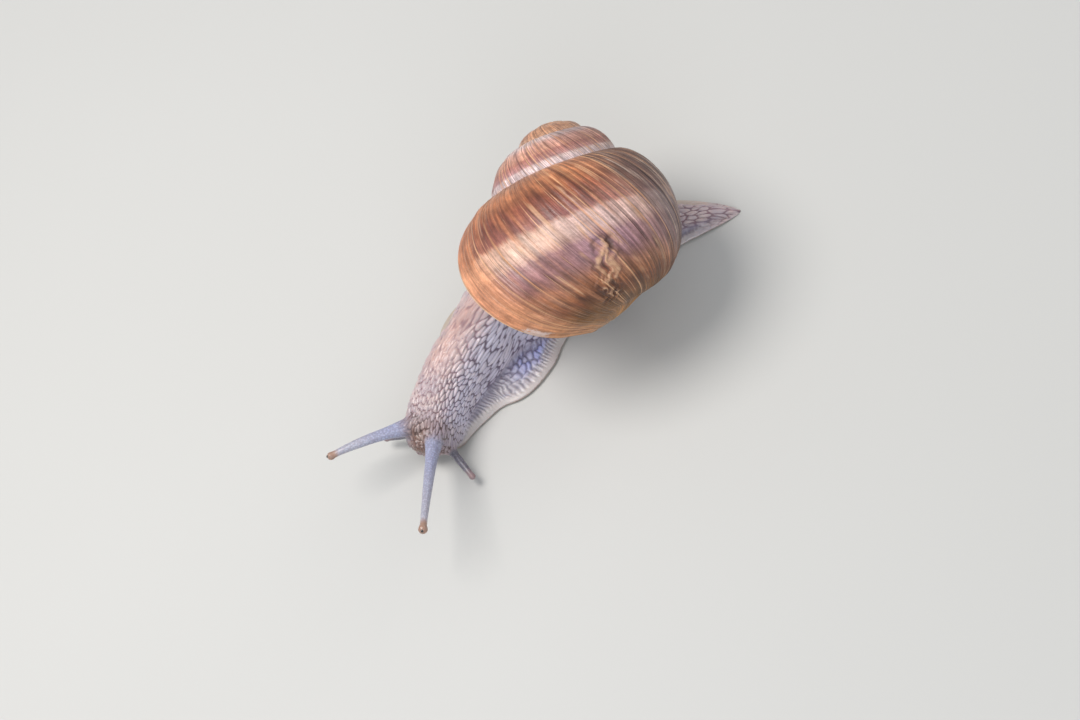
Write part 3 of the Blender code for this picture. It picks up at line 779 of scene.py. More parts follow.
def body_notes(points):
    """The loft's notes under each point, and the point's distance from the loft."""
    triangles = np.vstack([loft_quads[:, [0, 1, 2]], loft_quads[:, [0, 2, 3]]])
    tree = BVHTree.FromPolygons(loft_points.tolist(), triangles.tolist())
    hit = [tree.find_nearest(p) for p in points.tolist()]
    foot_points = np.array([h[0][:] for h in hit])
    corner = triangles[np.array([h[2] for h in hit])]
    a, b, c = (loft_points[corner[:, k]] for k in range(3))
    v0, v1, v2 = b - a, c - a, foot_points - a
    d00, d01, d11 = (v0 * v0).sum(1), (v0 * v1).sum(1), (v1 * v1).sum(1)
    d20, d21 = (v2 * v0).sum(1), (v2 * v1).sum(1)
    den = np.maximum(d00 * d11 - d01 * d01, 1e-12)
    w1, w2 = (d11 * d20 - d01 * d21) / den, (d00 * d21 - d01 * d20) / den
    shares = (1 - w1 - w2, w1, w2)
    notes = sum(loft_notes[corner[:, k]] * share[:, None] for k, share in enumerate(shares))
    return notes.T, np.linalg.norm(points - foot_points, axis=1)


def tubercle_relief(points, along, across, warp_u, warp_v):
    """The body's tubercles as heights from 0 to 1, each one's own number, and the weights of the smooth
    top of the neck, of the snout and of the long furrows."""
    grid = np.linspace(-8, 90, 800)
    per_mm = 1 / np.interp(grid, *TUBERCLE_LENGTHS)
    run = np.concatenate([[0], np.cumsum((per_mm[1:] + per_mm[:-1]) / 2 * np.diff(grid))])
    u = np.interp(along, grid, run)
    v = across / np.interp(along, *TUBERCLE_WIDTHS)
    f1, f2, number = cells(u + warp_u, v + warp_v, 31, 0.95)
    tubercle = smoothstep(0.0, 0.34, f2 - f1) * (0.50 + 0.50 * np.clip(1 - (f1 / 0.60) ** 2, 0, 1))
    tubercle *= 0.72 + 0.5 * number
    s1, s2, _ = cells(u * 2.1 + 2.2 * warp_u, v * 1.7 + warp_v, 41, 0.95)
    small = smoothstep(0.0, 0.40, s2 - s1)
    tubercle = tubercle * (0.84 + 0.16 * small)
    # the top of the neck has longer, lower ridges
    l1, l2, _ = cells(u * 0.66 + warp_u, v * 1.45 + 1.2 * warp_v, 36, 0.95)
    ridges = smoothstep(0.0, 0.62, l2 - l1) * (0.80 + 0.20 * small)
    smooth_top = np.exp(-((across + 0.6) / 2.5) ** 2) * smoothstep(7, 13, along) * smoothstep(60, 45, along)
    tubercle = tubercle * (1 - 0.80 * smooth_top) + (0.05 + 0.90 * ridges) * 0.80 * smooth_top
    # where the body climbs into the shell the rows turn upwards, and on the snout they are small and round
    stalk = smoothstep(20, 26, along) * smoothstep(51, 46, along) * smoothstep(3.0, 6.5, np.abs(across))
    snout = smoothstep(1.5, -0.8, along) * smoothstep(6.0, 4.2, points[:, 2])
    for share, rows, sizes, seed in ((stalk, CLIMB, CLIMB_CELL, 131), (snout, np.eye(3), SNOUT_CELL, 141)):
        which = np.flatnonzero(share > 0)
        local = points[which] @ np.array(rows).T / np.array(sizes)
        shake = noise(local[:, 0] * 0.6, local[:, 1] * 0.6 + local[:, 2], seed + 9, 2) - 0.5
        c1, c2, c_number = cells_in_space(local + 0.5 * shake[:, None], seed)
        bumps = smoothstep(0.0, 0.36, c2 - c1) * (0.6 + 0.4 * np.clip(1 - (c1 / 0.7) ** 2, 0, 1))
        bumps = bumps * (0.75 + 0.45 * c_number)
        tubercle[which] += (bumps - tubercle[which]) * share[which]
        number[which] += (c_number - number[which]) * share[which]
    # long furrows between the rows
    rows = np.abs(noise(along * 0.09, across / 1.75 + 0.8 * warp_v, 23) - 0.5)
    furrows = np.exp(-(rows / 0.045) ** 2) * smoothstep(5, 10, along)
    furrows = furrows * (1 - 0.6 * smooth_top) * (1 - stalk)
    return tubercle * (1 - 0.45 * furrows), number, smooth_top, snout, furrows


def foot_relief(along, from_edge, warp_u, warp_v):
    """Stripes across the foot, knobs beside its groove and their numbers, and where the knobs are."""
    comb = along / 0.78 + 1.5 * (noise(along * 0.45, from_edge * 0.55, 51, 2) - 0.5) + 0.10 * from_edge
    comb2 = along / 0.47 + 2.4 * (noise(along * 0.55, from_edge * 0.7 + 7, 52, 2) - 0.5)
    stripe, stripe2 = (0.5 + 0.5 * np.cos(TAU * c) for c in (comb, comb2))
    stripe = (0.65 * stripe + 0.35 * stripe2) * (0.6 + 0.8 * noise(along * 0.8, from_edge * 0.5, 53))
    b1, b2, bead = cells(along / 1.5 + warp_u, from_edge / 1.2 + warp_v, 61, 0.95)
    beads = smoothstep(0.0, 0.45, b2 - b1) * (0.7 + 0.5 * bead)
    zone = smoothstep(2.0, 3.3, from_edge + 0.8 * (noise(along * 0.5, from_edge * 0, 62) - 0.5))
    return stripe, beads, bead, zone * smoothstep(14, 22, along)


def make_skin():
    body_faces = loft_quads.tolist() + [nose_ring, tail_ring[::-1]]
    cut_at = mouth_middle - mouth_normal * STALK_DEPTH
    parts = [clipped(loft_points, body_faces, cut_at, mouth_normal)]
    # the mouth's plane also runs through the tail, so the rear of the foot is added whole
    size = len(nose_ring)
    rear = loft_notes.reshape(-1, size, 4)[:, 0, 0] > REAR_FROM
    parts.append(closed_tube(list(loft_points.reshape(-1, size, 3)[rear])))
    axes = {name: tentacle_axis(name) for name in TENTACLES}
    parts += [tube(*axis) for axis in axes.values()]
    parts += list(mouth_pieces())
    parts += [ball(*shape) for shape in (FOOT_FRONT, *LIPS)]
    mesh = fused(parts)
    points = coordinates(mesh)
    edges = read(mesh.edges, "vertices", 2)
    everywhere = np.ones(len(points))

    # joints between the parts are smoothed away
    belongs, along_t, round_t, share_t, upper_t, near_root = tentacle_notes(points, axes)
    points = relax(points, edges, everywhere, 3)
    lip_near = smoothstep(3.0, 1.2, np.abs((points - mouth_middle) @ mouth_normal)) * 0.8
    snout_near = np.exp(-(np.linalg.norm(points - SNOUT_MIDDLE, axis=1) / 2.4) ** 4)
    weight = np.maximum(near_root * smoothstep(3.5, 1.5, along_t), np.maximum(lip_near, snout_near))
    points = relax(points, edges, np.clip(weight, 0, 1), 60)

    # where the mantle's collar and the sole are
    (along, across, from_edge, above), off_loft = body_notes(points)
    _held, behind = hold_inside(points)
    move_points(mesh, points)
    facing = vertex_normals(mesh) @ np.array(mouth_normal)
    depth_in = (np.array(mouth_middle) - points) @ np.array(mouth_normal)
    off_stalk = smoothstep(0.5, 1.4, off_loft)
    collar = np.maximum(smoothstep(0.02, -0.02, behind) * off_stalk,
                        smoothstep(-0.9, 0.2, depth_in)
                        * np.maximum(smoothstep(0.30, 0.55, facing), off_stalk))
    collar *= points[:, 2] > COLLAR_ABOVE
    collar = relax(collar[:, None], edges, everywhere, 6)[:, 0]
    on_sole = smoothstep(-0.1, -0.5, from_edge) * (above < -5) * smoothstep(1.2, 0.6, points[:, 2])

    # body and foot
    warp_u = 0.9 * (noise(along * 0.35, across * 0.6, 21, 2) - 0.5)
    warp_v = 1.5 * (noise(along * 0.22 + 9, across * 0.40, 22, 2) - 0.5)
    tubercle, number, smooth_top, snout, furrows = tubercle_relief(points, along, across, warp_u, warp_v)
    stripe, beads, bead, beads_zone = foot_relief(along, from_edge, warp_u, warp_v)
    tail = smoothstep(60, 69, along)
    body_zone = np.maximum(np.maximum(smoothstep(0.1, 1.4, above), snout),
                           tail * smoothstep(0.1, 0.6, from_edge))
    depth = np.interp(along, *TUBERCLE_DEPTHS)
    depth = depth * (1 - 0.25 * smooth_top) * (1 - 0.30 * smoothstep(2.5, 6.5, across))
    shelf_zone = smoothstep(0.9, -0.5, above) * (1 - on_sole) * smoothstep(-1.5, 2.0, along)
    shelf_zone *= 1 - 0.85 * tail
    rim = smoothstep(0.5, 1.5, from_edge)
    shelf_relief = (STRIPE_DEPTH * (stripe - 0.5) * (1 - 0.8 * beads_zone) * rim
                    + BEAD_DEPTH * (beads - 0.5) * beads_zone)
    groove = np.exp(-(above + 0.1) ** 2) * smoothstep(0.8, 2.0, from_edge) * smoothstep(3, 9, along)
    furrow = np.exp(-((from_edge - 1.75) / 0.35) ** 2) * smoothstep(4, 10, along) * (above < 0)
    height = depth * (tubercle - 0.5) * body_zone + shelf_relief * shelf_zone * smoothstep(1, 5, along)
    height -= GROOVE_DEPTH * groove + FURROW_DEPTH * furrow * shelf_zone
    height += FOLD_HEIGHT * (noise(along * 0.16, across * 0.32, 71, 2) - 0.5) * body_zone

    # tentacles: fine grains, in rows
    shake = 0.8 * (noise(along_t * 1.7, round_t * 3, 82, 2) - 0.5)
    g1, g2, grain_number = cells(along_t / GRAIN_LENGTH + shake, round_t / TAU * GRAINS_ROUND, 81, 1.0,
                                 wrap=GRAINS_ROUND)
    grain = smoothstep(0.0, 0.55, g2 - g1) * (0.85 + 0.25 * grain_number)
    height = height * (1 - belongs) + belongs * np.interp(share_t, *GRAIN_DEPTHS) * (grain - 0.55)
    # mantle collar: soft, with shallow pits
    soft = 0.10 * (noise(points[:, 0] * 0.8, points[:, 1] * 0.8 + points[:, 2], 91, 3) - 0.5)
    height = height * (1 - collar) + collar * soft
    height *= 1 - on_sole
    climb = smoothstep(9, 15, along) * smoothstep(54, 48, along) * (1 - shelf_zone) * (1 - belongs)
    height, tubercle, number = relax(np.stack([height, tubercle, number], -1), edges, climb, 1, 0.65).T

    # how far up its bump each point is, for the paint
    relief = np.clip(np.where(belongs > 0.5, grain, tubercle), 0, 1)
    relief = relief * (1 - belongs) + grain * belongs
    shelf_look = 0.30 + 0.6 * (stripe * (1 - beads_zone) + beads * beads_zone)
    shelf_look = shelf_look * rim + 0.85 * (1 - rim)
    relief = relief * (1 - shelf_zone) + shelf_look * shelf_zone
    relief = relief * (1 - collar) + 0.7 * collar
    relief = np.clip(relief - 0.25 * groove * (1 - belongs), 0, 1)

    move_points(mesh, points)
    moved, pressed = keep_clear(points + vertex_normals(mesh) * height[:, None])
    near = np.zeros(len(points))
    near[edges[pressed[edges].any(axis=1)].ravel()] = 1.0
    moved, _pressed = keep_clear(relax(moved, edges, near, 8))
    moved[:, 2] = np.maximum(moved[:, 2], 0.0)
    move_points(mesh, moved)

    blue = beads_zone * shelf_zone * smoothstep(15, 21, along) * np.clip(0.5 + bead, 0, 1)
    store(mesh, "relief", relief)
    for name, *three in (
            ("place", along, across, from_edge),
            ("zone", shelf_zone * (1 - belongs) * (1 - collar), belongs, collar),
            ("zone2", np.clip(share_t, 0, 1.2) * (belongs > 0),
             np.clip(groove, 0, 1) * (1 - belongs), on_sole),
            ("zone3", blue, number, upper_t),
            ("zone4", smooth_top * body_zone, snout, furrows * body_zone)):
        store(mesh, name, np.stack(three, -1))
    return mesh


def hold_inside(points):
    """Draws flesh that lies behind the lip in from the shell's wall, and says how far past the lip, as an
    angle of the spiral, each point is."""
    local = (points - np.array(APEX)) @ SHELL_AXES / SHELL_UNIT
    radius, height = np.hypot(local[:, 0], local[:, 1]), local[:, 2]
    phase = -np.arctan2(local[:, 1], local[:, 0])
    value, angle = inside_section(phase, radius, height)
    upper, _before = suture(np.clip(phase, -1.5, 0.5))
    behind = phase + lag(np.maximum(upper - angle, 0.0))
    size = np.sqrt(np.maximum(1 + value, 1e-6))
    much = smoothstep(0.02, -0.05, behind) * smoothstep(-1.5, -1.2, phase)
    much = much * (size < 1.5) * (points[:, 2] > 4)
    goal = place_shell(spiral_point(phase, angle, size * np.minimum(FLESH_SIZE / size, 1.0)))
    return points + (goal - points) * much[:, None], behind


def keep_clear(points):
    """Presses the skin back where it would enter the shell, apart from the flesh behind the lip."""
    points, behind = hold_inside(points)
    out = points.copy()
    pressed = np.zeros(len(points), bool)
    for k in np.flatnonzero((points[:, 2] > 3.0) & (behind > -0.03)):
        p = Vector(points[k])
        place, normal, _face, _distance = SHELL_TREE.find_nearest(p, 6.0)
        if place is not None and (p - place).dot(normal) < SHELL_CLEARANCE:
            out[k] = np.array(place + normal * SHELL_CLEARANCE)
            pressed[k] = True
    return out, pressed


# ---- material nodes -------------------------------------------------------------------------------
def colour(*screen):
    """A colour of 0 to 255 as it looks on a screen, turned into linear light."""
    return tuple(((c / 255 + 0.055) / 1.055) ** 2.4 if c > 10 else c / 255 / 12.92
                 for c in screen) + (1.0,)


class Wire:
    """A node's output, which takes sums, differences and products like a number."""

    def __init__(self, paint, socket):
        self.paint, self.socket = paint, socket

    def __add__(self, other):
        return self.paint.math("ADD", self, other)

    def __sub__(self, other):
        return self.paint.math("SUBTRACT", self, other)

    def __rsub__(self, other):
        return self.paint.math("SUBTRACT", other, self)

    def __mul__(self, other):
        return self.paint.math("MULTIPLY", self, other)


class Paint:
    """Short names for the nodes a material is built from.

    A colour of three numbers is a screen colour, and one of four is linear.
    """

    def __init__(self, name):
        self.material = bpy.data.materials.new(name)
        self.material.use_nodes = True
        self.tree = self.material.node_tree
        self.shader = self.tree.nodes["Principled BSDF"]
        self.tint = None

    def node(self, kind, inputs, output=0, **fields):
        """One output of a new node, whose fields and inputs are set or joined up."""
        made = self.tree.nodes.new(kind)
        for key, value in fields.items():
            setattr(made, key, value)
        for key, value in inputs.items():
            self.put(made.inputs[key], value)
        return Wire(self, made.outputs[output])

    def put(self, socket, value):
        value = getattr(value, "socket", value)
        if isinstance(value, bpy.types.NodeSocket):
            self.tree.links.new(value, socket)
        else:
            screen = isinstance(value, tuple) and len(value) == 3
            socket.default_value = colour(*value) if screen else value

    def plain(self, **numbers):
        """Numbers that are the same all over the surface, set on the shader's own sockets."""
        for name, value in numbers.items():
            self.shader.inputs[name.replace("_", " ")].default_value = value

    def attribute(self, name, output="Fac"):
        return self.node("ShaderNodeAttribute", {}, output, attribute_name=name)

    def split(self, name):
        """The three numbers of a vector kept on the mesh."""
        first = self.node("ShaderNodeSeparateXYZ", {0: self.attribute(name, "Vector")})
        return [Wire(self, output) for output in first.socket.node.outputs]

    def place(self):
        return self.node("ShaderNodeTexCoord", {}, "Object")

    def math(self, operation, a, b):
        return self.node("ShaderNodeMath", {0: a, 1: b}, operation=operation)

    def most(self, a, b):
        return self.math("MAXIMUM", a, b)

    def size_of(self, a):
        return self.math("ABSOLUTE", a, 0.0)

    def span(self, value, low, high, to_low=0.0, to_high=1.0):
        """value between low and high, eased, as a number between to_low and to_high."""
        return self.node("ShaderNodeMapRange", {0: value, 1: low, 2: high, 3: to_low, 4: to_high},
                         interpolation_type="SMOOTHSTEP")

    def noise(self, vector, scale=1.0, detail=2.0, rough=0.5):
        return self.node("ShaderNodeTexNoise",
                         {"Vector": vector, "Scale": scale, "Detail": detail, "Roughness": rough})

    def field(self, x, y, z, detail=2.0, rough=0.5):
        """Noise at three numbers, the last of which mostly serves as a seed."""
        return self.noise(self.node("ShaderNodeCombineXYZ", {0: x, 1: y, 2: z}), 1.0, detail, rough)

    def granules(self, vector, scale):
        """Distance to the nearest of many scattered points."""
        return self.node("ShaderNodeTexVoronoi", {"Vector": vector, "Scale": scale}, "Distance")

    def ramp(self, value, *stops):
        made = self.node("ShaderNodeValToRGB", {0: value})
        elements = made.socket.node.color_ramp.elements
        while len(elements) < len(stops):
            elements.new(0.5)
        for element, (position, tint) in zip(elements, stops):
            element.position = position
            element.color = colour(*tint) if len(tint) == 3 else tint
        return made

    def mix(self, amount, a, b, blend="MIX"):
        return self.node("ShaderNodeMix", {0: amount, 6: a, 7: b}, 2, data_type="RGBA", blend_type=blend)

    def over(self, amount, tint):
        """Lays a colour over the tint so far."""
        self.tint = self.mix(amount, self.tint, tint)

    def stain(self, amount, tint):
        """Multiplies the tint so far by a colour."""
        self.tint = self.mix(amount, self.tint, tint, "MULTIPLY")

    def finish(self, roughness, *layers):
        """Connects the tint, the roughness and the fine relief: each layer's height, strength and
        distance in metres."""
        self.put(self.shader.inputs["Base Color"], self.tint)
        self.put(self.shader.inputs["Roughness"], roughness)
        under = {}
        for height, strength, distance in layers:
            bump = self.node("ShaderNodeBump",
                             {"Height": height, "Strength": strength, "Distance": distance, **under})
            under = {"Normal": bump}
        if under:
            self.put(self.shader.inputs["Normal"], under["Normal"])
        return self.material


# ---- shell's paint --------------------------------------------------------------------------------
# Colours by the section's angle: the banded last whorl, then the plain orange it gives way to
BAND_LOW, BAND_HIGH = -2.95, 1.45
BANDS = (
    (-2.9, (216, 188, 160)), (-2.2, (192, 150, 116)), (-1.60, (138, 94, 36)), (-1.32, (108, 70, 24)),
    (-1.00, (112, 68, 46)), (-0.86, (142, 92, 62)), (-0.70, (156, 104, 78)), (-0.60, (138, 95, 86)),
    (-0.48, (140, 101, 104)), (-0.27, (154, 116, 118)), (-0.21, (182, 145, 134)),
    (-0.12, (199, 165, 150)), (0.06, (202, 165, 148)), (0.10, (172, 122, 104)), (0.13, (137, 86, 78)),
    (0.45, (127, 73, 58)), (0.62, (156, 100, 70)), (0.80, (182, 120, 84)), (1.00, (172, 118, 88)),
    (1.32, (190, 150, 128)),
)
PLAIN = (
    (-2.9, (214, 184, 150)), (-1.8, (178, 125, 84)), (-0.9, (190, 135, 103)), (-0.1, (208, 146, 110)),
    (0.5, (180, 114, 78)), (1.32, (192, 142, 112)),
)
# older whorls, from the seam up: a chalky band, reddish over it, paler and pinker at the top, where the
# lilac tint is painted reflection of the sky
OLD_BANDS = (
    (0.0, (208, 182, 172)), (0.13, (206, 180, 170)), (0.17, (172, 127, 122)), (0.30, (164, 113, 106)),
    (0.36, (188, 140, 126)), (0.56, (197, 156, 148)), (0.70, (199, 181, 186)), (1.0, (205, 189, 192)),
)


def shell_paint():
    p = Paint("shell_banded")
    g, t, phase = p.split("spiral")
    _relief, crumple, scarred = p.split("relief")
    drift = p.field(g * 5.0, t * 1.6, 3.0) - 0.5
    line_at = g + drift * 0.014 + crumple * 0.012

    def lines(across, along, seed, detail=2.0, rough=0.5):
        """Noise drawn out along the growth lines."""
        return p.field(line_at * across, t * along, seed, detail, rough)

    fine = lines(85.0, 0.7, 0.0, 3.0, 0.6)
    middle = lines(30.0, 0.4, 4.0)
    broad = lines(7.5, 0.35, 8.0, 2.5)
    # bands run with the spiral, creep up the whorl as it ages, and shift a little from line to line
    banded = t + g * 0.027 + (middle - 0.5) * 0.16 + (broad - 0.5) * 0.14
    reach = BAND_HIGH - BAND_LOW
    position = p.math("DIVIDE", banded - BAND_LOW, reach)
    bands, plain = (p.ramp(position, *(((at - BAND_LOW) / reach, tint) for at, tint in stops))
                    for stops in (BANDS, PLAIN))
    # near the lip and on old shell the bands give way to plain orange, and growth lines break them up
    lip_zone = p.span(g + drift * 0.20, -0.42, -0.20, 0.0, 0.85)
    broken = p.span(lines(11.0, 0.9, 17.0), 0.52, 0.72, 0.0, 0.62)
    aged = p.span(g + drift * 0.5, -1.2, -2.1, 0.0, 0.45)
    p.tint = p.mix(p.most(lip_zone, p.most(broken, aged)), bands, plain)
    above_seam = t + 0.015 + (phase + TAU) * 0.060
    old = p.span(phase, -TAU - 0.25, -TAU + 0.05, 1.0, 0.0)
    p.over(old, p.ramp((above_seam + (middle - 0.5) * 0.10) * 0.8, *OLD_BANDS))
    apex = p.span(phase, -2 * TAU - 1.2, -2 * TAU + 0.6, 1.0, 0.0)
    p.over(apex * 0.85, (190, 146, 116))
    # worn, greyer stretch on the side away from the mouth
    grey = p.span(g, -3.9, -2.9) * p.span(g, -2.15, -1.6, 1.0, 0.0)
    p.over(grey * 0.64, (86, 77, 78))
    # painted reflection of the sky: a cooler, chalkier tint over the middle of the last whorl
    painted_sky_reflection = p.span(g, -0.80, -1.30) * (p.span(t, -0.95, -0.60) * p.span(t, 0.45, 0.10))
    p.stain(painted_sky_reflection, (1.02, 1.17, 1.46, 1))
    # painted shade on the base, with an olive cast that is painted reflected green light
    p.stain(p.span(t, -1.15, -1.50) * p.span(g, -0.25, -0.60), (0.84, 0.76, 0.48, 1))
    # painted shade: the side of the last whorl away from the light is made duller and darker
    p.stain(p.span(g, -1.75, -2.25) * (1.0 - old), (0.84, 0.88, 0.94, 1))
    worn_lines = lines(24.0, 1.0, 21.0, 3.0)
    p.over(p.span(worn_lines, 0.55, 0.65, 0.0, 0.60) * grey, (196, 182, 174))
    p.over(p.span(worn_lines, 0.42, 0.36, 0.0, 0.75) * grey, (84, 58, 62))
    # blotches and grit, then growth lines: fine, middling and broad, softer near the lip
    blotch = p.field(g * 9.0, t * 4.5, 90.0, 4.0, 0.6)
    grit = p.field(line_at * 60.0, t * 6.0, 95.0, 3.0, 0.6)
    harsh = p.span(g, -0.55, -1.45, 0.48, 1.0)
    for pattern, amount, stops in (
            (blotch, 1.0, ((0.34, (0.74, 0.71, 0.70, 1)), (0.66, (1.26, 1.25, 1.24, 1)))),
            (grit, 1.0, ((0.32, (0.80, 0.77, 0.74, 1)), (0.68, (1.20, 1.20, 1.19, 1)))),
            (fine, harsh * 0.85, ((0.32, (0.66, 0.62, 0.59, 1)), (0.5, (0.98, 0.97, 0.96, 1)),
                                  (0.68, (1.26, 1.24, 1.21, 1)))),
            (middle, harsh, ((0.34, (0.60, 0.56, 0.54, 1)), (0.5, (0.99, 0.98, 0.97, 1)),
                             (0.66, (1.36, 1.33, 1.28, 1)))),
            (broad, p.span(g, -0.3, -1.2, 0.75, 1.0),
             ((0.34, (0.72, 0.68, 0.66, 1)), (0.5, (1.0, 1.0, 1.0, 1)), (0.66, (1.27, 1.24, 1.20, 1))))):
        p.stain(amount, p.ramp(pattern, *stops))
    # cream streaks, wide tan streaks and dark ones, each let through in places
    gate = p.span(p.field(g * 4.0, t * 1.1, 30.0), 0.38, 0.58)
    streak = p.span(lines(34.0, 0.16, 9.0, 1.0), 0.60, 0.655) * gate
    p.over(streak * p.span(g, -0.2, -0.7, 0.45, 0.85), (232, 180, 136))
    wide_gate = p.span(p.field(g * 3.0, t * 0.8, 34.0), 0.40, 0.56)
    p.over(p.span(lines(15.0, 0.12, 36.0, 1.0), 0.585, 0.66) * wide_gate * 0.62, (218, 156, 112))
    dark_gate = p.span(p.field(g * 3.0, t * 1.0, 40.0), 0.40, 0.60)
    dark = p.span(lines(38.0, 0.14, 13.0, 1.0), 0.385, 0.34) * dark_gate
    p.over(dark * p.span(g, -0.3, -0.9, 0.30, 0.70), (72, 42, 34))
    p.over(old * p.span(lines(46.0, 0.3, 50.0, 1.0), 0.46, 0.40, 0.0, 0.5), (120, 84, 84))
    # thin crisp lines where growth paused: dark creases and cream threads
    fades = p.field(g * 6.0, t * 2.2, 125.0)
    for across, seed, width, shade in ((8.0, 120.0, 0.009, (84, 50, 40)),
                                       (6.0, 140.0, 0.008, (224, 176, 138))):
        off_line = p.size_of(lines(across, 0.10, seed, 1.0) - 0.5)
        p.over(p.span(off_line, width, 0.25 * width) * p.span(fades, 0.44, 0.60) * 0.50, shade)
    # faint lines along the spiral cross the growth lines
    across_lines = p.field(g * 2.2, banded * 62.0, 210.0)
    p.stain(1.0, p.ramp(across_lines, (0.36, (0.92, 0.91, 0.90, 1)), (0.64, (1.08, 1.08, 1.07, 1))))
    # the healed scar: cream healed ridges, partly painted highlight on their tops, and dark pits that are
    # painted shade
    patchy = p.field(g * 26.0, t * 14.0, 110.0, 3.0)
    p.over(p.span(crumple, 0.50, 0.84) * p.span(patchy, 0.36, 0.62, 0.35, 0.90), (206, 162, 128))
    p.over(p.span(crumple, 0.46, 0.14) * p.span(scarred, 0.20, 0.7) * 0.72, (78, 50, 42))
    # scratches and specks
    speck = p.field(g * 34.0, t * 17.0, 60.0, 3.0, 0.7)
    p.over(p.span(speck, 0.70, 0.78, 0.0, 0.5), (226, 196, 170))
    # chalky chip low on the lip
    chip_edge = p.field(g * 26.0, t * 12.0, 2.0, 4.0, 0.6)
    ragged = chip_edge - 0.5
    chip = p.span(g + ragged * 0.15, -0.105, -0.070) * (
        p.span(t + ragged * 0.55, -1.30, -1.22) * p.span(t + ragged * 0.55, -1.02, -0.94, 1.0, 0.0))
    chip = chip * p.span(p.field(g * 60.0, t * 26.0, 5.0, 3.0), 0.36, 0.52, 0.50, 1.0)
    p.over(chip * 0.80, (206, 188, 182))
    # pale thin edge of the lip, and the pale wall inside the mouth
    p.over(p.span(g, -0.016, -0.008) * 0.8, p.mix(chip_edge, (196, 160, 120), (226, 204, 176)))
    p.plain(Specular_IOR_Level=0.5, Coat_Weight=0.10, Coat_Roughness=0.30)
    hair = lines(190.0, 3.0, 70.0)
    grain = p.field(g * 160.0, t * 90.0, 80.0)
    return p.finish(fine * 0.30 + 0.20 + p.most(chip, grey * 0.3) * 0.25, (hair, 0.45, 0.00006),
                    (fine, 0.60, 0.00010), (grain, 0.30, 0.00003), (grit, 0.40, 0.00010))


# ---- skin's and eyes' paint -----------------------------------------------------------------------
def skin_paint():
    p = Paint("snail_skin_moist")
    relief = p.attribute("relief")
    along, across, from_edge = p.split("place")
    shelf, feeler, collar = p.split("zone")
    share, hollow, sole = p.split("zone2")
    blue_zone, number, upper = p.split("zone3")
    warm_zone, snout, furrow = p.split("zone4")
    where = p.place()
    mottle = p.noise(where, 420.0, 3.0, 0.6)
    speck = p.noise(where, 2600.0, 2.0, 0.6)
    # body: mauve-grey grooves round pinkish tubercles, warmer along the back, bluer low on the left,
    # browner on the head
    flank = p.span(across, 2.0, 6.5)
    head = p.span(along, 6.0, 0.5)
    brow = p.span(along, 3.0, 0.0) * p.span(p.size_of(across), 3.5, 1.0)
    tops = p.mix(p.span(mottle, 0.35, 0.65), (197, 175, 174), (183, 165, 172))
    for amount, tint in ((warm_zone * 0.80, (205, 164, 153)), (flank * 0.75, (204, 202, 226)),
                         (head * 0.70, (138, 120, 131)), (brow * 0.92, (114, 80, 64)),
                         (snout * 0.5, (150, 120, 110)), ((number - 0.35) * 0.45, (214, 196, 196))):
        tops = p.mix(amount, tops, tint)
    grooves = p.mix(head, p.mix(flank, (140, 110, 118), (102, 88, 110)), (86, 64, 58))
    grooves = p.mix(warm_zone * 0.75, grooves, (166, 130, 130))
    p.tint = p.mix(p.span(relief, 0.04, 0.42), grooves, tops)
    # painted highlight: the tops of the tubercles are lightened toward their middles
    p.over(p.span(relief, 0.50, 1.0, 0.0, 0.16), (228, 214, 214))
    p.over(furrow * 0.35, (96, 80, 98))
    # foot: striped across, bluish knobs beside the groove near the shell, a smooth pale rim
    foot = p.mix(p.span(relief, 0.25, 0.75), (136, 130, 142), (186, 179, 186))
    knobs = p.mix(p.span(relief, 0.3, 0.7), (106, 105, 146), (168, 174, 226))
    tan_rim = p.span(across, 0.0, -3.0) * p.span(from_edge, 2.6, 1.0, 0.0, 0.7)
    for amount, tint in ((blue_zone * 0.95, knobs),
                         (p.span(from_edge, 1.8, 0.7, 0.0, 0.85), (196, 187, 184)),
                         (tan_rim, (192, 172, 150))):
        foot = p.mix(amount, foot, tint)
    p.over(shelf, foot)
    p.over(p.span(hollow, 0.05, 1.0, 0.0, 0.35), (164, 156, 180))
    # feelers: lavender grey, bluer at the root, tan at the bulb; the lower pair is darker as painted shade
    # under the head
    granule = p.granules(where, 2900.0)
    root = p.mix(p.span(granule, 0.62, 0.22), (148, 150, 177), (173, 177, 207))
    middle = p.mix(p.span(granule, 0.65, 0.25), (160, 158, 173), (181, 181, 195))
    stalk = p.mix(p.span(share, 0.25, 0.85), root, middle)
    stalk = p.mix(p.span(share, 0.90, 0.97), stalk, (162, 128, 110))
    # painted shade: the lower pair's greys are darker than the upper pair's
    low = p.mix(p.span(granule, 0.6, 0.25), (98, 95, 107), (122, 119, 132))
    low = p.mix(p.span(share, 0.7, 1.0), low, (142, 118, 120))
    p.over(feeler, p.mix(upper, low, stalk))
    # the mantle's collar, and the sole
    clouded = p.span(p.noise(where, 260.0, 4.0, 0.65), 0.42, 0.60)
    p.over(collar, p.mix(clouded, (206, 192, 166), (168, 152, 134)))
    p.over(sole, p.mix(p.span(p.field(along * 0.9, 0.0, 0.0), 0.4, 0.6), (150, 136, 128), (170, 156, 146)))
    p.over(p.span(speck, 0.62, 0.78, 0.0, 0.25), (110, 92, 88))
    p.over(p.span(mottle, 0.30, 0.70, 0.0, 0.14), (120, 104, 112))
    p.plain(Specular_IOR_Level=0.55, Coat_Weight=0.40, Coat_Roughness=0.14, Subsurface_Weight=0.22,
            Subsurface_Radius=(1.0, 0.55, 0.4), Subsurface_Scale=0.0007)
    wet = p.noise(where, 900.0, 2.0)
    return p.finish(p.span(wet, 0.35, 0.7, 0.32, 0.52), (p.granules(where, 4200.0), 0.30, 0.00006),
                    (p.noise(where, 1500.0, 3.0), 0.35, 0.00010))


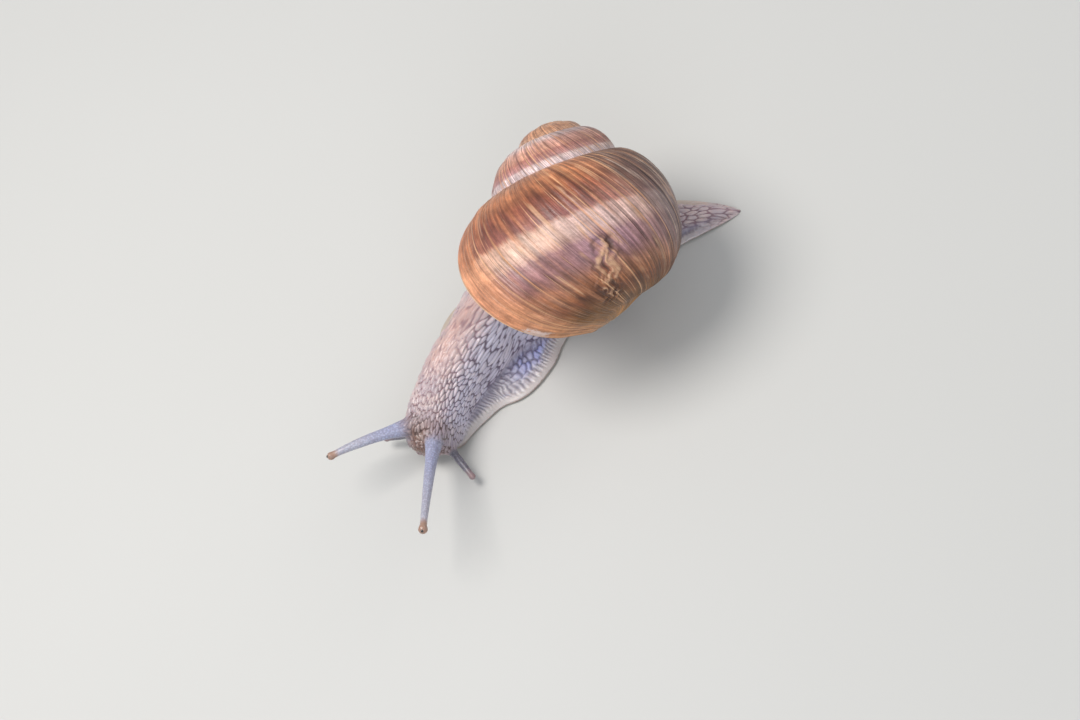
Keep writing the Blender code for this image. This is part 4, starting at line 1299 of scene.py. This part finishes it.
def eye_paint():
    p = Paint("eye_dark_gloss")
    spots = p.noise(p.place(), 3000.0, 2.0)
    p.tint = p.mix(p.span(spots, 0.4, 0.6), (14, 11, 12), (34, 24, 22))
    p.plain(Coat_Weight=1.0, Coat_Roughness=0.04)
    return p.finish(p.span(spots, 0.3, 0.7, 0.08, 0.16))


def floor_paint():
    p = Paint("floor_pale")
    p.tint = p.mix(p.noise(p.place(), 6.0, 3.0), (196, 195, 192), (201, 200, 198))
    p.put(p.shader.inputs["Base Color"], p.tint)
    p.plain(Roughness=0.85)
    return p.material


# ---- pieces ---------------------------------------------------------------------------------------
shell_mesh = make_shell()
shell_mesh.calc_loop_triangles()
SHELL_TREE = BVHTree.FromPolygons(coordinates(shell_mesh).tolist(),
                                  read(shell_mesh.loop_triangles, "vertices", 3).tolist())
skin_mesh = make_skin()
finish_piece("snail_shell", shell_mesh, shell_paint(), "shell", slot="shell_brown")
finish_piece("snail_skin", skin_mesh, skin_paint(), "head", "neck", "trunk", "foot_rear", "tail", "mantle",
             "upper_tentacle_left", "upper_tentacle_right", "lower_tentacle_left", "lower_tentacle_right",
             slot="skin_beige")

eye_gloss = eye_paint()
for side in ("left", "right"):
    base, _azimuth, _elevation, length, bend, radii = TENTACLES["upper_" + side]
    ahead = tentacle_way("upper_" + side)
    way = ahead * length / 8 - np.array([0, 0, bend]) * 4 * 0.875 * 0.125
    look = way / np.linalg.norm(way) + np.array([0.0, 0.0, EYE_LIFT])
    look /= np.linalg.norm(look)
    middle = np.array(base) + ahead * length + look * (radii[-1] - EYE_RADIUS * EYE_SUNK)
    bead = ball(middle, (EYE_BEAD,) * 3, rings=24, sides=32)
    finish_piece("eye_bead_" + side, outward(mesh_from("eye_bead_" + side, *bead)), eye_gloss,
                 "eye_" + side, slot="eye_black")

# ---- floor, light and camera ----------------------------------------------------------------------
floor_corners = [(x * FLOOR_REACH, y * FLOOR_REACH, 0.0) for x, y in ((-1, -1), (1, -1), (1, 1), (-1, 1))]
floor_mesh = mesh_from("floor", floor_corners, [[0, 1, 2, 3]])
floor_mesh.materials.append(floor_paint())
floor = bpy.data.objects.new("floor", floor_mesh)
bpy.context.collection.objects.link(floor)

scene = bpy.context.scene
scene.view_settings.view_transform = "Standard"
scene.view_settings.look = "None"
scene.world = bpy.data.worlds.new("studio")
scene.world.use_nodes = True
background = scene.world.node_tree.nodes["Background"]
background.inputs["Color"].default_value = WORLD_COLOUR
background.inputs["Strength"].default_value = WORLD_STRENGTH

for name, place, aim, size, power, tint in LIGHTS:
    data = bpy.data.lights.new(name, "AREA")
    data.shape = "DISK"
    data.size = size
    data.energy = power
    data.color = tint
    light = bpy.data.objects.new(name, data)
    light.location = place
    light.rotation_euler = (Vector(aim) - Vector(place)).to_track_quat("-Z", "Y").to_euler()
    bpy.context.collection.objects.link(light)

camera_data = bpy.data.cameras.new("camera")
camera_data.sensor_width = SENSOR
camera_data.lens = LENS
camera_data.clip_start = 0.01
camera = bpy.data.objects.new("camera", camera_data)
camera.location = (np.array(CAMERA_PLACE) - SHIFT) * MM
camera.rotation_euler = Euler([math.radians(a) for a in CAMERA_TURN], "XYZ")
bpy.context.collection.objects.link(camera)
bpy.context.scene.camera = camera
